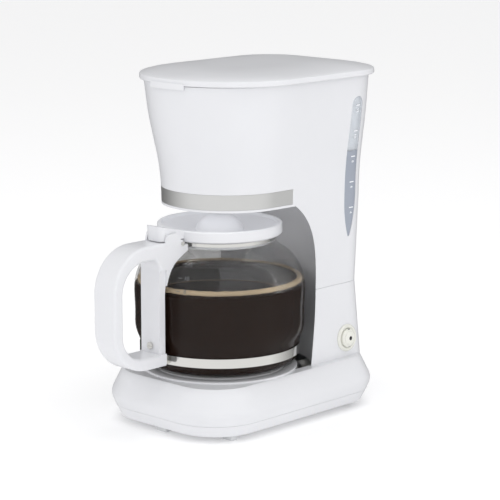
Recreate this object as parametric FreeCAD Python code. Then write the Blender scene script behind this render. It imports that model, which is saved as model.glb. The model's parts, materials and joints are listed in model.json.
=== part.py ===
"""Drip coffee maker with a glass carafe: one STEP file per physical piece.

Millimetres, +Z up.  The front of the machine faces -Y, so the carafe is drawn out along -Y.
The origin is on the table under the middle of the machine's bounding box.
"""
import FreeCAD, Part

import math
import os

VEC = FreeCAD.Vector
X_AXIS = VEC(1, 0, 0)
Y_AXIS = VEC(0, 1, 0)
Z_AXIS = VEC(0, 0, 1)

# ---------------------------------------------------------------- driving dimensions
# Datums
head_offset = 10.0       # centre of the round head, behind the carafe's axis
wall = 2.5               # moulded housing wall
touch_gap = 0.3          # air between pieces on different moving bodies
fit_gap = 0.15           # air round a piece that sits in a pocket of another
seam_width = 0.5         # width of a visible moulding seam
seam_depth = 0.6         # depth of a visible moulding seam

# Base
foot_height = 5.0
base_seam_z = 15.0       # base cover below, lower housing above
base_rim_z = 24.0        # the widest level of the base
base_top_z = 45.6
base_half = 79.3         # half the width at the rim
base_front = 85.0        # rim in front of the carafe's axis
base_rear = 134.5        # rim behind the carafe's axis
base_front_r = 50.0
base_rear_r = 37.0
base_tuck = 8.0          # how far the bottom edge is drawn in from the rim
base_shoulder = 10.0     # how far the top edge is drawn in from the rim
screw_r = 1.5            # base screws
screw_top_z = 22.0
post_r = 4.5             # posts that the base screws go into
foot_stud_r = 2.0
slot_pitch = 9.0         # cooling slots in the base cover

# Tower and head
tower_seam_z = 112.5     # lower housing below, upper housing above
tower_half = 58.0        # half the width at the seam
tower_foot_half = 61.5   # half the width where it meets the base
tower_rear = 128.5       # rear wall at the seam, behind the carafe's axis
tower_foot_rear = 133.0  # rear wall where it meets the base
tower_rear_r = 25.0
head_floor_z = 190.4
rim_z = 298.4            # top of the upper housing
rim_half = 72.4
rim_rear = 138.0
rim_rear_r = 40.0
bay_radius = 84.0        # concave front of the tower, about the carafe's axis
side_splay = 2.7         # degrees that the side walls open towards the rear, above the seam

# Trim band round the head
band_low_z = 192.6
band_height = 13.0
band_thick = 0.6
band_end = 30.0          # the band's ends, behind the carafe's axis

# Lid
lid_gap = 0.6            # air between the housing's rim and the lid
lid_half = 78.0
lid_front = 63.5
lid_rear = 142.5
lid_front_r = 75.0
lid_rear_r = 46.0
lid_rim_height = 5.2
lid_crown = 5.4          # rise of the top above the rim
lid_wall = 2.2
lid_tab_half = 19.5
lid_tab_height = 3.4
hinge_r = 3.5            # outside of the hinge knuckles
hinge_gap = 0.5          # air between the knuckles and the housing and lid
hinge_pin_r = 1.25
hinge_pin_play = 0.05    # running clearance round the pin
hinge_half = 30.0
knuckle_half = 18.0      # half the length of the lid's own knuckle

# Water gauge
gauge_y = 101.5          # behind the carafe's axis
gauge_low_z = 155.0
gauge_high_z = 280.5
gauge_width = 14.5
gauge_recess = 0.5       # window face below the housing's face

# Water tank
tank_wall = 2.0
tank_top_z = 286.0
tank_floor_z = 150.0
tank_front = 62.0        # upper front wall, behind the carafe's axis
sump_front = 91.0        # lower front wall
sump_top_z = 168.0
tank_gap = 0.6

# Brew basket and drip valve
basket_floor_r = 34.0
basket_top_r = 55.0
basket_rim_z = 283.0
basket_wall = 2.0
basket_rim_r = 56.4
nozzle_r = 8.0
nozzle_drop = 3.0        # nozzle below the head's floor
outlet_r = 4.5
floor_hole_r = 13.0      # hole in the head's floor round the nozzle
stem_r = 2.2
seal_r = 7.5
seal_thick = 2.0
valve_drop = 4.0
tip_r = 5.0
tip_thick = 2.0
cage_r = 12.0
cage_top_z = 214.0
cage_thick = 1.5
guide_gap = 0.4
spring_r = 4.2
spring_wire_r = 0.4
spring_turns = 4
valve_flange_thick = 1.2

# Filter
filter_low_z = 217.0
filter_floor_r = 31.0
filter_top_r = 49.0
mesh_thick = 0.8
flange_thick = 1.5
frame_rib = 3.0

# Warming plate and heater
plate_top_z = 49.0
plate_r = 57.5
plate_thick = 1.6
ring_r = 68.0
ring_rise = 1.7          # ring above the base's top
ring_hole_r = 62.0
ledge_r = 54.0
ledge_drop = 4.5         # ledge below the plate's face
tube_r = 4.0
tube_bore_r = 2.8
tube_bend = 32.0
rod_r = 3.2
rod_bend = 41.0
tube_leg = 66.0          # end of the water tube's legs behind the carafe's axis
rod_leg = 50.0
bracket_screw_r = 2.0
fuse_r = 2.6

# Water path at the rear
hose_r = 5.5
hose_bore_r = 4.0
clip_thick = 1.0
hose_y = 103.0
hose_bend = 18.0
spigot_length = 9.0
valve_body_r = 7.5
valve_body_height = 17.0
chamber_r = 4.2
ball_r = 3.2
ball_lift = 2.5
seat_r = 1.8
seat_thick = 1.5
riser_bend = 10.0
riser_z = 291.0
spray_r = 16.0
spray_low_z = 286.0
spray_high_z = 296.0
spray_holes = 8

# Power switch
switch_y = 99.8
switch_z = 62.5
bezel_r = 12.3
bezel_proud = 2.0
barrel_r = 10.8
button_r = 8.4
button_proud = 5.2
button_depth = 6.0       # button behind the housing's face
press_travel = 2.5
lens_r = 1.9

# Cord inlet
gland_x = 12.0
gland_z = 62.0
gland_bore_r = 3.6
gland_neck_r = 6.5
gland_flange_r = 9.0
gland_length = 14.0

# Carafe
glass_wall = 2.0
glass_bottom_r = 60.0
glass_band_r = 69.5
glass_belly_r = 75.0
glass_belly_z = 118.0
neck_r = 48.6
neck_low_z = 157.0
neck_top_z = 163.8
clamp_low_z = 60.2
clamp_height = 8.0
clamp_thick = 0.8
collar_height = 2.8
collar_thick = 0.8
handle_root = 51.5       # handle's top end, in front of the carafe's axis
side_screw_y = 58.0      # clamp screw on the handle's side
side_screw_z = 164.6
jug_lid_r = 54.5
jug_lid_height = 9.9
dome_r = 21.5
dome_top_z = 183.0
handle_reach = 137.0     # handle in front of the carafe's axis
handle_half = 13.0
spine_half = 11.3
handle_top_z = 167.5
handle_low_z = 61.0
handle_bend = 38.0
strap_thick = 10.5
arm_thick = 13.0
grip_upper_r = 26.0      # corners of the handle's opening
grip_lower_r = 23.0
spine_top_z = 122.0      # where the spine leaves the glass's widest part
spine_front = 84.0
spine_back = 77.6
ear_thick = 2.3
lever_reach = 81.0
lever_nose_r = 6.5
lever_top_z = 181.3
lever_pin_y = 69.5
lever_pin_z = 169.8
lever_pin_r = 1.5
handle_screw_r = 1.6
collar_screw_r = 0.9

# ---------------------------------------------------------------- derived values
hinge_back = rim_rear + 2 * hinge_r + hinge_gap   # rearmost point, behind the carafe's axis
axis_y = (handle_reach - hinge_back) / 2          # puts the origin under the middle
head_y = axis_y + head_offset
lid_low_z = rim_z + lid_gap
hinge_y = axis_y + rim_rear + hinge_r + hinge_gap
hinge_z = lid_low_z - hinge_r - hinge_gap
glass_bottom_z = plate_top_z + touch_gap
basket_floor_z = head_floor_z + wall
tip_z = dome_top_z + touch_gap
seal_low_z = basket_floor_z + basket_wall + valve_drop + touch_gap
seal_top_z = seal_low_z + seal_thick
tube_z = base_top_z - wall - hose_r - clip_thick - touch_gap
heater_top_z = tube_z + tube_r
rod_z = heater_top_z - rod_r
barrel_depth = button_depth + press_travel + touch_gap + 0.2
handle_screw_z = clamp_low_z + clamp_height + 10.0
jug_lid_z = neck_top_z + 0.8
valve_body_top_z = tank_floor_z - 3.0
valve_body_low_z = valve_body_top_z - valve_body_height
rear_lean = (tower_foot_rear - tower_rear) / (tower_seam_z - base_top_z)
gland_face_y = tower_rear + rear_lean * (tower_seam_z - gland_z + gland_flange_r + 1.5)


# ---------------------------------------------------------------- shape helpers
def at(x, y, z):
    """A point given from the carafe's axis, in the machine's frame."""
    return VEC(x, y + axis_y, z)


def block(x0, x1, y0, y1, z0, z1):
    """A box between two corners, with y measured from the carafe's axis."""
    return Part.makeBox(x1 - x0, y1 - y0, z1 - z0, at(x0, y0, z0))


def rod(radius, start, direction, length):
    """A solid cylinder."""
    return Part.makeCylinder(radius, length, start, direction)


def arc(centre, radius, start_deg, end_deg, z):
    """An arc in a level plane, drawn from one angle to the other."""
    def point(deg):
        a = math.radians(deg)
        return VEC(centre[0] + radius * math.cos(a), centre[1] + radius * math.sin(a), z)
    return Part.Arc(point(start_deg), point((start_deg + end_deg) / 2), point(end_deg)).toShape()


def outline(z, half, front, rear, front_r, rear_r):
    """A level rounded outline; front and rear are its extreme Y values."""
    edges = [arc((half - rear_r, rear - rear_r), rear_r, 0, 90, z)]
    edges.append(Part.makeLine(VEC(half - rear_r, rear, z), VEC(rear_r - half, rear, z)))
    edges.append(arc((rear_r - half, rear - rear_r), rear_r, 90, 180, z))
    edges.append(Part.makeLine(VEC(-half, rear - rear_r, z), VEC(-half, front + front_r, z)))
    edges.append(arc((front_r - half, front + front_r), front_r, 180, 270, z))
    if half - front_r > 0.01:
        edges.append(Part.makeLine(VEC(front_r - half, front, z), VEC(half - front_r, front, z)))
    edges.append(arc((half - front_r, front + front_r), front_r, 270, 360, z))
    edges.append(Part.makeLine(VEC(half, front + front_r, z), VEC(half, rear - rear_r, z)))
    return Part.Wire(edges)


def lathe(points, y=axis_y, x=0.0):
    """A closed (radius, z) polygon turned about an upright axis."""
    corners = [VEC(x + r, y, z) for r, z in points]
    face = Part.Face(Part.makePolygon(corners + corners[:1]))
    return face.revolve(VEC(x, y, 0), Z_AXIS, 360)


def curved_lathe(low_z, curve, top_z):
    """A solid of revolution whose side is a smooth curve through (radius, z) points."""
    side = Part.BSplineCurve()
    side.interpolate([VEC(r, axis_y, z) for r, z in curve])
    first, last = curve[0], curve[-1]
    corners = [VEC(last[0], axis_y, last[1]), VEC(last[0], axis_y, top_z), VEC(0, axis_y, top_z),
               VEC(0, axis_y, low_z), VEC(first[0], axis_y, low_z), VEC(first[0], axis_y, first[1])]
    edges = [side.toShape()]
    for a, b in zip(corners, corners[1:]):
        if a.distanceToPoint(b) > 1e-6:
            edges.append(Part.makeLine(a, b))
    face = Part.Face(Part.Wire(edges))
    return face.revolve(VEC(0, axis_y, 0), Z_AXIS, 360)


def side_prism(edges, half):
    """Edges closed in the YZ plane at x = -half, drawn out to x = +half."""
    return Part.Face(Part.Wire(edges)).extrude(VEC(2 * half, 0, 0))


def side_polygon(points, x0, x1):
    """A (y, z) polygon, y from the carafe's axis, drawn out from x0 to x1."""
    corners = [at(x0, y, z) for y, z in points]
    return Part.Face(Part.makePolygon(corners + corners[:1])).extrude(VEC(x1 - x0, 0, 0))


def swept(path_edges, radius, bore=0.0):
    """A round bar or tube along a path of tangent edges."""
    path = Part.Wire(path_edges)
    start = path_edges[0].valueAt(path_edges[0].FirstParameter)
    along = path_edges[0].tangentAt(path_edges[0].FirstParameter)
    bar = path.makePipeShell([Part.Wire(Part.makeCircle(radius, start, along))], True, False)
    if not bore:
        return bar
    hole = path.makePipeShell([Part.Wire(Part.makeCircle(bore, start, along))], True, False)
    return bar.cut(hole)


def slab(z0, z1):
    """Everything between two heights."""
    return Part.makeBox(600, 600, z1 - z0, VEC(-300, -300, z0))


def edges_where(shape, test):
    """The edges whose centre of mass passes a test."""
    return [e for e in shape.Edges if test(e.CenterOfMass, e)]


# ---------------------------------------------------------------- body surfaces
HEAD_LEVELS = [
    # z, half width, rear, rear corner radius, splay
    (head_floor_z, tower_half - 0.4, tower_rear, tower_rear_r, side_splay),
    (206.0, tower_half, tower_rear + 0.6, tower_rear_r + 1.0, side_splay),
    (226.0, tower_half + 2.0, tower_rear + 2.2, tower_rear_r + 3.5, side_splay * 0.9),
    (248.0, tower_half + 6.3, tower_rear + 4.8, tower_rear_r + 7.5, side_splay * 0.6),
    (273.0, tower_half + 11.0, tower_rear + 7.6, tower_rear_r + 12.0, side_splay * 0.25),
    (rim_z + 1.0, rim_half, rim_rear, rim_rear_r, 0.0),
]


def housing_wire(inset, z, half, rear, rear_r, splay):
    """The tower's outline at one height, drawn in by inset: a round front and side walls
    that open towards the rear by the splay angle."""
    sine, cosine = math.sin(math.radians(splay)), math.cos(math.radians(splay))
    reach, back, r = half - inset, axis_y + rear - inset, rear_r - inset
    corner = VEC((reach - r + (back - r - head_y) * sine) / cosine, back - r, z)
    side_start = VEC(reach * cosine, head_y - reach * sine, z)
    side_end = corner + VEC(r * cosine, -r * sine, 0)
    half_turn = math.radians(45 - splay / 2)

    def mirrored(p):
        return VEC(-p.x, p.y, p.z)

    def bulge(centre, radius, angle):
        return centre + VEC(radius * math.cos(angle), radius * math.sin(angle), 0)

    nose, rear_mid = VEC(0, head_y - reach, z), VEC(corner.x, back, z)
    front_mid = bulge(VEC(0, head_y, z), reach, -math.radians(splay) - half_turn)
    corner_mid = bulge(corner, r, (math.radians(90 - splay)) / 2)
    edges = [Part.Arc(side_end, corner_mid, rear_mid).toShape(),
             Part.makeLine(rear_mid, mirrored(rear_mid)),
             Part.Arc(mirrored(rear_mid), mirrored(corner_mid), mirrored(side_end)).toShape(),
             Part.makeLine(mirrored(side_end), mirrored(side_start)),
             Part.Arc(mirrored(side_start), mirrored(front_mid), nose).toShape(),
             Part.Arc(nose, front_mid, side_start).toShape(),
             Part.makeLine(side_start, side_end)]
    return Part.Wire(edges)


def housing_solid(inset, z0, z1):
    """The tower and head between two heights, drawn in all round by inset."""
    head = Part.makeLoft([housing_wire(inset, *level) for level in HEAD_LEVELS], True, False)
    z, half, rear, rear_r, splay = HEAD_LEVELS[0]
    below = [housing_wire(inset, tower_seam_z - 2.0, tower_half, rear, rear_r, 0.0),
             housing_wire(inset, z, half, rear, rear_r, splay)]
    return head.fuse(Part.makeLoft(below, True, True)).common(slab(z0, z1))


def foot_of_tower(inset, z0, z1):
    """The lower tower between two heights; its flat walls lean in going up."""
    wires = []
    for share in (0.0, 1.3):
        z = tower_seam_z + share * (base_top_z - tower_seam_z)
        reach = tower_half + share * (tower_foot_half - tower_half) - inset
        rear = tower_rear + share * (tower_foot_rear - tower_rear) - inset
        wires.append(outline(z, reach, axis_y + 20.0, axis_y + rear, 5.0, tower_rear_r - inset))
    return Part.makeLoft(wires, True, True).common(slab(z0, z1))


BASE_LEVELS = [
    # z, inset from the rim
    (foot_height, base_tuck),
    (base_seam_z, base_tuck * 0.36),
    (base_rim_z - 4.0, base_tuck * 0.1),
    (base_rim_z - 1.5, base_tuck * 0.02),
    (base_rim_z + 1.5, base_shoulder * 0.01),
    (base_rim_z + 4.5, base_shoulder * 0.1),
    (base_rim_z + 8.0, base_shoulder * 0.27),
    (base_top_z - 2.0, base_shoulder * 0.84),
    (base_top_z, base_shoulder * 1.1),
]


def base_solid(inset, z0, z1):
    """The base between two heights, drawn in all round by inset."""
    wires = []
    for z, tuck in BASE_LEVELS:
        d = tuck + inset
        wires.append(outline(z, base_half - d, axis_y - base_front + d, axis_y + base_rear - d,
                             base_front_r - d, base_rear_r - d))
    return Part.makeLoft(wires, True, True).common(slab(z0, z1))


def bay_solid(grow):
    """The bay in front of the tower: a surface turned about the carafe's axis."""
    curve = [(bay_radius - 3.5 + grow, base_top_z), (bay_radius - 0.4 + grow, 90.0),
             (bay_radius + 0.2 + grow, 128.0), (bay_radius - 3.7 + grow, 165.0),
             (bay_radius - 8.5 + grow, 178.0), (bay_radius - 16.2 + grow, head_floor_z)]
    top = head_floor_z + grow
    return curved_lathe(base_top_z, curve, top)


def lid_solid(inset, z_shift):
    """The lid's outside, drawn in by inset and moved by z_shift."""
    h, crown = lid_rim_height, lid_crown
    levels = [(0.0, 0.7), (0.8, 0.0), (h - 1.4, 0.0), (h - 0.4, 0.5), (h + 0.25, 1.8),
              (h + crown * 0.3, 7.0), (h + crown * 0.55, 15.0), (h + crown * 0.78, 26.0),
              (h + crown * 0.93, 39.0), (h + crown, 53.0)]
    wires = []
    for rise, tuck in levels:
        d = tuck + inset
        share = (lid_half - d) / lid_half
        wires.append(outline(lid_low_z + rise + z_shift, lid_half - d, axis_y - lid_front + d,
                             axis_y + lid_rear - d, lid_front_r * share, lid_rear_r * share))
    return Part.makeLoft(wires, True, True)


def seam_groove(solid_of, z, cut_below):
    """A shallow groove round the outside on one side of a seam."""
    half = seam_width / 2
    z0, z1 = (z - half, z) if cut_below else (z, z + half)
    return solid_of(-2.0, z0, z1).cut(solid_of(seam_depth, z0 - 1, z1 + 1))


# ---------------------------------------------------------------- housings
def make_upper_housing():
    """Head and upper tower: one shell, open at the top and at the seam."""
    outside = housing_solid(0, tower_seam_z, rim_z)
    inside = housing_solid(wall, tower_seam_z - 1, rim_z + 1).cut(bay_solid(wall))
    shell = outside.cut(bay_solid(0)).cut(inside)
    shell = shell.cut(rod(floor_hole_r, at(0, 0, head_floor_z - 1), Z_AXIS, wall + 2))
    recess = housing_solid(-2, band_low_z - fit_gap, band_low_z + band_height + fit_gap)
    recess = recess.cut(housing_solid(band_thick, band_low_z - 2, band_low_z + band_height + 2))
    recess = recess.common(block(-100, 100, -100, band_end + fit_gap, 180, 220))
    shell = shell.cut(recess)
    shell = shell.cut(gauge_slot(fit_gap))
    shell = shell.cut(seam_groove(housing_solid, tower_seam_z, False))
    lug_y = hinge_y - axis_y
    for side in (-1, 1):
        x0, x1 = sorted((side * (knuckle_half + touch_gap), side * hinge_half))
        knuckle = rod(hinge_r, VEC(x0, hinge_y, hinge_z), X_AXIS, x1 - x0)
        arm = block(x0, x1, rim_rear - 1.5, lug_y, hinge_z - hinge_r, hinge_z + 2.0)
        shell = shell.fuse([knuckle, arm])
    pin_hole = rod(hinge_pin_r, VEC(-hinge_half - 1, hinge_y, hinge_z), X_AXIS, 2 * hinge_half + 2)
    return shell.cut(pin_hole)


def make_lower_housing():
    """Base skirt, platform and lower tower: one shell."""
    outside = base_solid(0, base_seam_z, base_top_z).fuse(
        foot_of_tower(0, base_top_z - 15.0, tower_seam_z).cut(bay_solid(0)))
    inside = base_solid(wall, base_seam_z - 1, base_top_z - wall).fuse(
        foot_of_tower(wall, base_top_z - 15.0, tower_seam_z + 1).cut(bay_solid(wall)))
    shell = outside.cut(inside)
    shell = shell.cut(rod(ring_hole_r, at(0, 0, base_top_z - 10), Z_AXIS, 12))
    shell = shell.cut(on_switch(rod(barrel_r + fit_gap, VEC(-10, 0, 0), X_AXIS, 20)))
    boss = rod(gland_flange_r + 1.5, at(gland_x, gland_face_y - 6, gland_z), Y_AXIS, 6)
    boss = boss.cut(foot_of_tower(wall / 2, gland_z - 20, gland_z + 20))
    shell = shell.fuse(boss)
    shell = shell.cut(rod(gland_neck_r, at(gland_x, tower_rear - 10, gland_z), Y_AXIS, 20))
    shell = shell.cut(seam_groove(foot_of_tower, tower_seam_z, True))
    shell = shell.cut(seam_groove(base_solid, base_seam_z, False))
    for x, y in screw_places():
        post = rod(post_r, at(x, y, foot_height + wall), Z_AXIS,
                   base_top_z - wall / 2 - foot_height - wall)
        post = post.cut(rod(screw_r, at(x, y, 0), Z_AXIS, screw_top_z))
        shell = shell.fuse(post)
    return shell


def make_base_cover():
    """Shallow tray under the machine, with cooling slots."""
    tray = base_solid(0, foot_height, base_seam_z)
    tray = tray.cut(base_solid(wall, foot_height + wall, base_seam_z + 1))
    for x, y in screw_places():
        tray = tray.cut(rod(screw_r + fit_gap, at(x, y, 0), Z_AXIS, 12))
        tray = tray.cut(rod(post_r, at(x, y, foot_height + wall), Z_AXIS, 12))
    for name, x, y in foot_places():
        tray = tray.cut(rod(foot_stud_r, at(x, y, 0), Z_AXIS, 12))
    for row in (-30.0, 60.0):
        for n in range(-3, 4):
            slot_x = n * slot_pitch
            tray = tray.cut(block(slot_x - 1.5, slot_x + 1.5, row - 12, row + 12, 0, 10))
    return tray


def screw_places():
    """The four screws that hold the base cover, from the carafe's axis."""
    return [(side * 63.0, y) for y in (-28.0, 98.0) for side in (-1, 1)]


def foot_places():
    """The five feet: name, and place from the carafe's axis."""
    return [("foot_front_left", -59.0, -48.0), ("foot_front_centre", 0.0, -69.0),
            ("foot_front_right", 59.0, -48.0), ("foot_rear_left", -52.0, 108.0),
            ("foot_rear_right", 52.0, 108.0)]


def make_foot(x, y):
    """A rounded rubber foot with a stud that pushes into the base cover."""
    pad = outline(0, 6.0, y + axis_y - 4.0, y + axis_y + 4.0, 1.5, 1.5)
    pad = Part.Face(pad).extrude(VEC(0, 0, foot_height))
    pad.translate(VEC(x, 0, 0))
    stud = rod(foot_stud_r, at(x, y, foot_height - 1), Z_AXIS, wall + 1)
    return pad.fuse(stud)


def make_base_screws():
    """Four screws up through the base cover into the housing's posts."""
    screws = []
    for x, y in screw_places():
        head = rod(3.0, at(x, y, foot_height - 1.8), Z_AXIS, 1.8)
        slot = block(x - 3.5, x + 3.5, y - 0.4, y + 0.4, foot_height - 2.0, foot_height - 1.1)
        shank = rod(screw_r, at(x, y, foot_height), Z_AXIS, screw_top_z - foot_height - 1.0)
        screws.append(head.cut(slot).fuse(shank))
    return Part.makeCompound(screws)


def make_head_trim_band():
    """Brushed steel strip let into the round front of the head."""
    strip = housing_solid(-0.05, band_low_z, band_low_z + band_height)
    strip = strip.cut(housing_solid(band_thick, band_low_z - 2, band_low_z + band_height + 2))
    return strip.common(block(-100, 100, -100, band_end, 180, 220))


def gauge_slot(grow):
    """Upright slot for the gauge: round at the top and drawn to a soft point below."""
    half = gauge_width / 2 + grow
    high, low = gauge_high_z + grow, gauge_low_z - grow
    y0, y1, ym = (at(0, gauge_y + d, 0).y for d in (-half, half, 0.0))
    x0 = 40.0
    arch = Part.Arc(VEC(x0, y1, high - half), VEC(x0, ym, high), VEC(x0, y0, high - half)).toShape()
    bulge = low + 10.0
    near, far = y0 + half * 0.45, y1 - half * 0.45
    left = Part.Arc(VEC(x0, y0, low + 38), VEC(x0, near, bulge), VEC(x0, ym - 1, low)).toShape()
    right = Part.Arc(VEC(x0, ym + 1, low), VEC(x0, far, bulge), VEC(x0, y1, low + 38)).toShape()
    edges = [arch, Part.makeLine(VEC(x0, y0, high - half), VEC(x0, y0, low + 38)), left,
             Part.makeLine(VEC(x0, ym - 1, low), VEC(x0, ym + 1, low)), right,
             Part.makeLine(VEC(x0, y1, low + 38), VEC(x0, y1, high - half))]
    return Part.Face(Part.Wire(edges)).extrude(VEC(60, 0, 0))


def make_gauge_window():
    """Clear strip that follows the housing's side, a little below its face."""
    strip = housing_solid(gauge_recess, gauge_low_z - 5, gauge_high_z + 5)
    strip = strip.cut(housing_solid(wall, gauge_low_z - 6, gauge_high_z + 6))
    return strip.common(gauge_slot(0))


# ---------------------------------------------------------------- lid
def make_lid():
    """Crowned cover with a locating skirt, a thumb tab and its hinge knuckle."""
    shell = lid_solid(0, 0).cut(lid_solid(lid_wall, -lid_wall))
    skirt_out, skirt_in = lid_half - rim_half + wall + 1.6, lid_half - rim_half + wall + 3.4
    skirt = lid_ring(skirt_out, skirt_in, lid_low_z - 6.5, lid_low_z + lid_rim_height)
    skirt = skirt.common(block(-100, 100, -100, 95, 250, 330))
    tab = lid_ring(-1.2, 0.35, lid_low_z - lid_tab_height, lid_low_z + 2.0)
    tab = tab.common(block(-lid_tab_half, lid_tab_half, -100, 0, 250, 330))
    knuckle = rod(hinge_r, VEC(-knuckle_half, hinge_y, hinge_z), X_AXIS, 2 * knuckle_half)
    web = block(-knuckle_half, knuckle_half, lid_rear - 2.4, lid_rear, hinge_z, lid_low_z + 2.5)
    cover = shell.fuse([skirt, tab, knuckle, web])
    hole = rod(hinge_pin_r + hinge_pin_play, VEC(-knuckle_half - 1, hinge_y, hinge_z), X_AXIS,
               2 * knuckle_half + 2)
    return cover.cut(hole)


def lid_ring(outer_inset, inner_inset, z0, z1):
    """An upright ring that follows the lid's outline between two insets."""
    rings = []
    for d in (outer_inset, inner_inset):
        wire = outline(z0, lid_half - d, axis_y - lid_front + d, axis_y + lid_rear - d,
                       lid_front_r - d, lid_rear_r - d)
        rings.append(Part.Face(wire).extrude(VEC(0, 0, z1 - z0)))
    return rings[0].cut(rings[1])


def make_lid_hinge_pin():
    """Steel pin held by the housing's two knuckles."""
    return rod(hinge_pin_r, VEC(-hinge_half, hinge_y, hinge_z), X_AXIS, 2 * hinge_half)


# ---------------------------------------------------------------- water tank and brewing
def tank_body(inset, front_shift, floor_z, top_z):
    """The tank's room: the housing's inside behind a stepped front."""
    room = housing_solid(wall + tank_gap + inset, floor_z, top_z)
    front, sump = tank_front + front_shift, sump_front + front_shift
    step_z = head_floor_z + wall + 1.5 + front_shift
    keep = side_polygon([(front, top_z + 1), (front, step_z + 2), (front + 13, step_z),
                         (sump, sump_top_z + front_shift), (sump, floor_z - 1),
                         (200, floor_z - 1), (200, top_z + 1)], -100, 100)
    return room.common(keep)


def make_water_tank():
    """Open tank with two spigots: the outlet, and the sleeve for the riser."""
    tank = tank_body(0, 0, tank_floor_z, tank_top_z)
    tank = tank.cut(tank_body(tank_wall, tank_wall, tank_floor_z + tank_wall, tank_top_z + 2))
    for x in (-tube_bend, tube_bend):
        tank = tank.fuse(rod(tube_r, at(x, hose_y, tank_floor_z - spigot_length), Z_AXIS,
                             spigot_length + 1))
        tank = tank.cut(rod(tube_bore_r, at(x, hose_y, tank_floor_z - spigot_length - 1), Z_AXIS,
                            spigot_length + tank_wall + 2))
    return tank


def make_filter_basket():
    """Conical basket standing on the head's floor, with the drip nozzle below."""
    low, top, w = basket_floor_z, basket_rim_z, basket_wall
    cup = lathe([(0, low), (basket_floor_r, low), (basket_top_r, top - 2), (basket_rim_r, top - 2),
                 (basket_rim_r, top), (basket_top_r - w, top), (basket_floor_r - w, low + w),
                 (0, low + w)])
    nozzle = rod(nozzle_r, at(0, 0, head_floor_z - nozzle_drop), Z_AXIS, wall + nozzle_drop + 0.5)
    cup = cup.fuse(nozzle)
    return cup.cut(rod(outlet_r, at(0, 0, head_floor_z - 10), Z_AXIS, 20))


def make_valve_cage():
    """Four-legged bridge over the valve that guides the stem and backs the spring."""
    floor = basket_floor_z + basket_wall
    cup = lathe([(cage_r, floor), (cage_r, cage_top_z), (stem_r + guide_gap, cage_top_z),
                 (stem_r + guide_gap, cage_top_z - cage_thick),
                 (cage_r - cage_thick, cage_top_z - cage_thick), (cage_r - cage_thick, floor)])
    for turn in (0, 90):
        window = Part.makeBox(40, 12, 9, VEC(-20, -6, floor))
        window.rotate(VEC(0, 0, 0), Z_AXIS, turn)
        window.translate(VEC(0, axis_y, 0))
        cup = cup.cut(window)
    return cup


def make_drip_valve():
    """Plunger that the carafe's lid holds up; its tip stands below the nozzle."""
    tip = lathe([(0, tip_z), (tip_r - 1, tip_z), (tip_r, tip_z + 0.7), (tip_r, tip_z + tip_thick),
                 (0, tip_z + tip_thick)])
    stem = rod(stem_r, at(0, 0, tip_z + 1), Z_AXIS, cage_top_z + 2 - tip_z)
    flange = rod(seal_r - 1.5, at(0, 0, seal_top_z), Z_AXIS, valve_flange_thick)
    return tip.fuse([stem, flange])


def make_valve_seal():
    """Silicone washer under the plunger's flange."""
    washer = rod(seal_r, at(0, 0, seal_low_z), Z_AXIS, seal_thick)
    return washer.cut(rod(stem_r, at(0, 0, seal_low_z - 1), Z_AXIS, seal_thick + 2))


def make_valve_spring():
    """Coil between the plunger's flange and the cage: half rings that lean in turn."""
    low = seal_top_z + valve_flange_thick + fit_gap + spring_wire_r
    high = cage_top_z - cage_thick - fit_gap - spring_wire_r
    rise = (high - low) / (2 * spring_turns)
    halves = []
    for n in range(2 * spring_turns):
        side = 1 if n % 2 == 0 else -1
        start = at(side * spring_r, 0, low + n * rise)
        middle = at(0, 0, low + (n + 0.5) * rise)
        disc = Part.Face(Part.Wire(Part.makeCircle(spring_wire_r, start, Y_AXIS)))
        halves.append(disc.revolve(middle, (start - middle).cross(Y_AXIS * side), 180))
    return halves[0].fuse(halves[1:]).Solids[0]


def filter_cone(grow, low_z, top_z):
    """The filter's cone, drawn out by grow."""
    return lathe([(0, low_z), (filter_floor_r + grow, low_z), (filter_top_r + grow, top_z),
                  (0, top_z)])


def make_filter_mesh():
    """Fine mesh cone that holds the grounds."""
    outer = filter_cone(0, filter_low_z, basket_rim_z)
    inner = filter_cone(-mesh_thick, filter_low_z + mesh_thick, basket_rim_z + 1)
    return outer.cut(inner)


def make_filter_frame():
    """Flange and four ribs that carry the mesh; the flange rests on the basket's rim."""
    flange = lathe([(filter_top_r - 2, basket_rim_z), (basket_top_r - 0.5, basket_rim_z),
                    (basket_top_r - 0.5, basket_rim_z + flange_thick),
                    (filter_top_r - 2, basket_rim_z + flange_thick)])
    cage = filter_cone(1.4, filter_low_z, basket_rim_z).cut(filter_cone(0, filter_low_z, basket_rim_z))
    bars = []
    for turn in (45, 135):
        bar = Part.makeBox(200, frame_rib, 100, VEC(-100, -frame_rib / 2, filter_low_z))
        bar.rotate(VEC(0, 0, 0), Z_AXIS, turn)
        bar.translate(VEC(0, axis_y, 0))
        bars.append(bar)
    hoop = slab(filter_low_z, filter_low_z + 4)
    return flange.fuse(cage.common(bars[0].fuse([bars[1], hoop])))


def riser_direction():
    """Level direction from the riser to the spray head."""
    d = VEC(tube_bend, -hose_y, 0)
    return d.normalize()


def make_riser_tube():
    """Tube that carries hot water up through the tank and over to the spray head."""
    foot = at(-tube_bend, hose_y, tank_floor_z + tank_wall)
    d = riser_direction()
    corner = VEC(foot.x, foot.y, riser_z)
    rise = VEC(foot.x, foot.y, riser_z - riser_bend)
    over = corner + d * riser_bend
    middle = corner + (d - Z_AXIS) * (riser_bend * (1 - math.sqrt(0.5)))
    end = VEC(0, axis_y, riser_z) - d * (spray_r - 4.0)
    path = [Part.makeLine(foot, rise), Part.Arc(rise, middle, over).toShape(),
            Part.makeLine(over, end)]
    return swept(path, tube_r, tube_bore_r)


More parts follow.
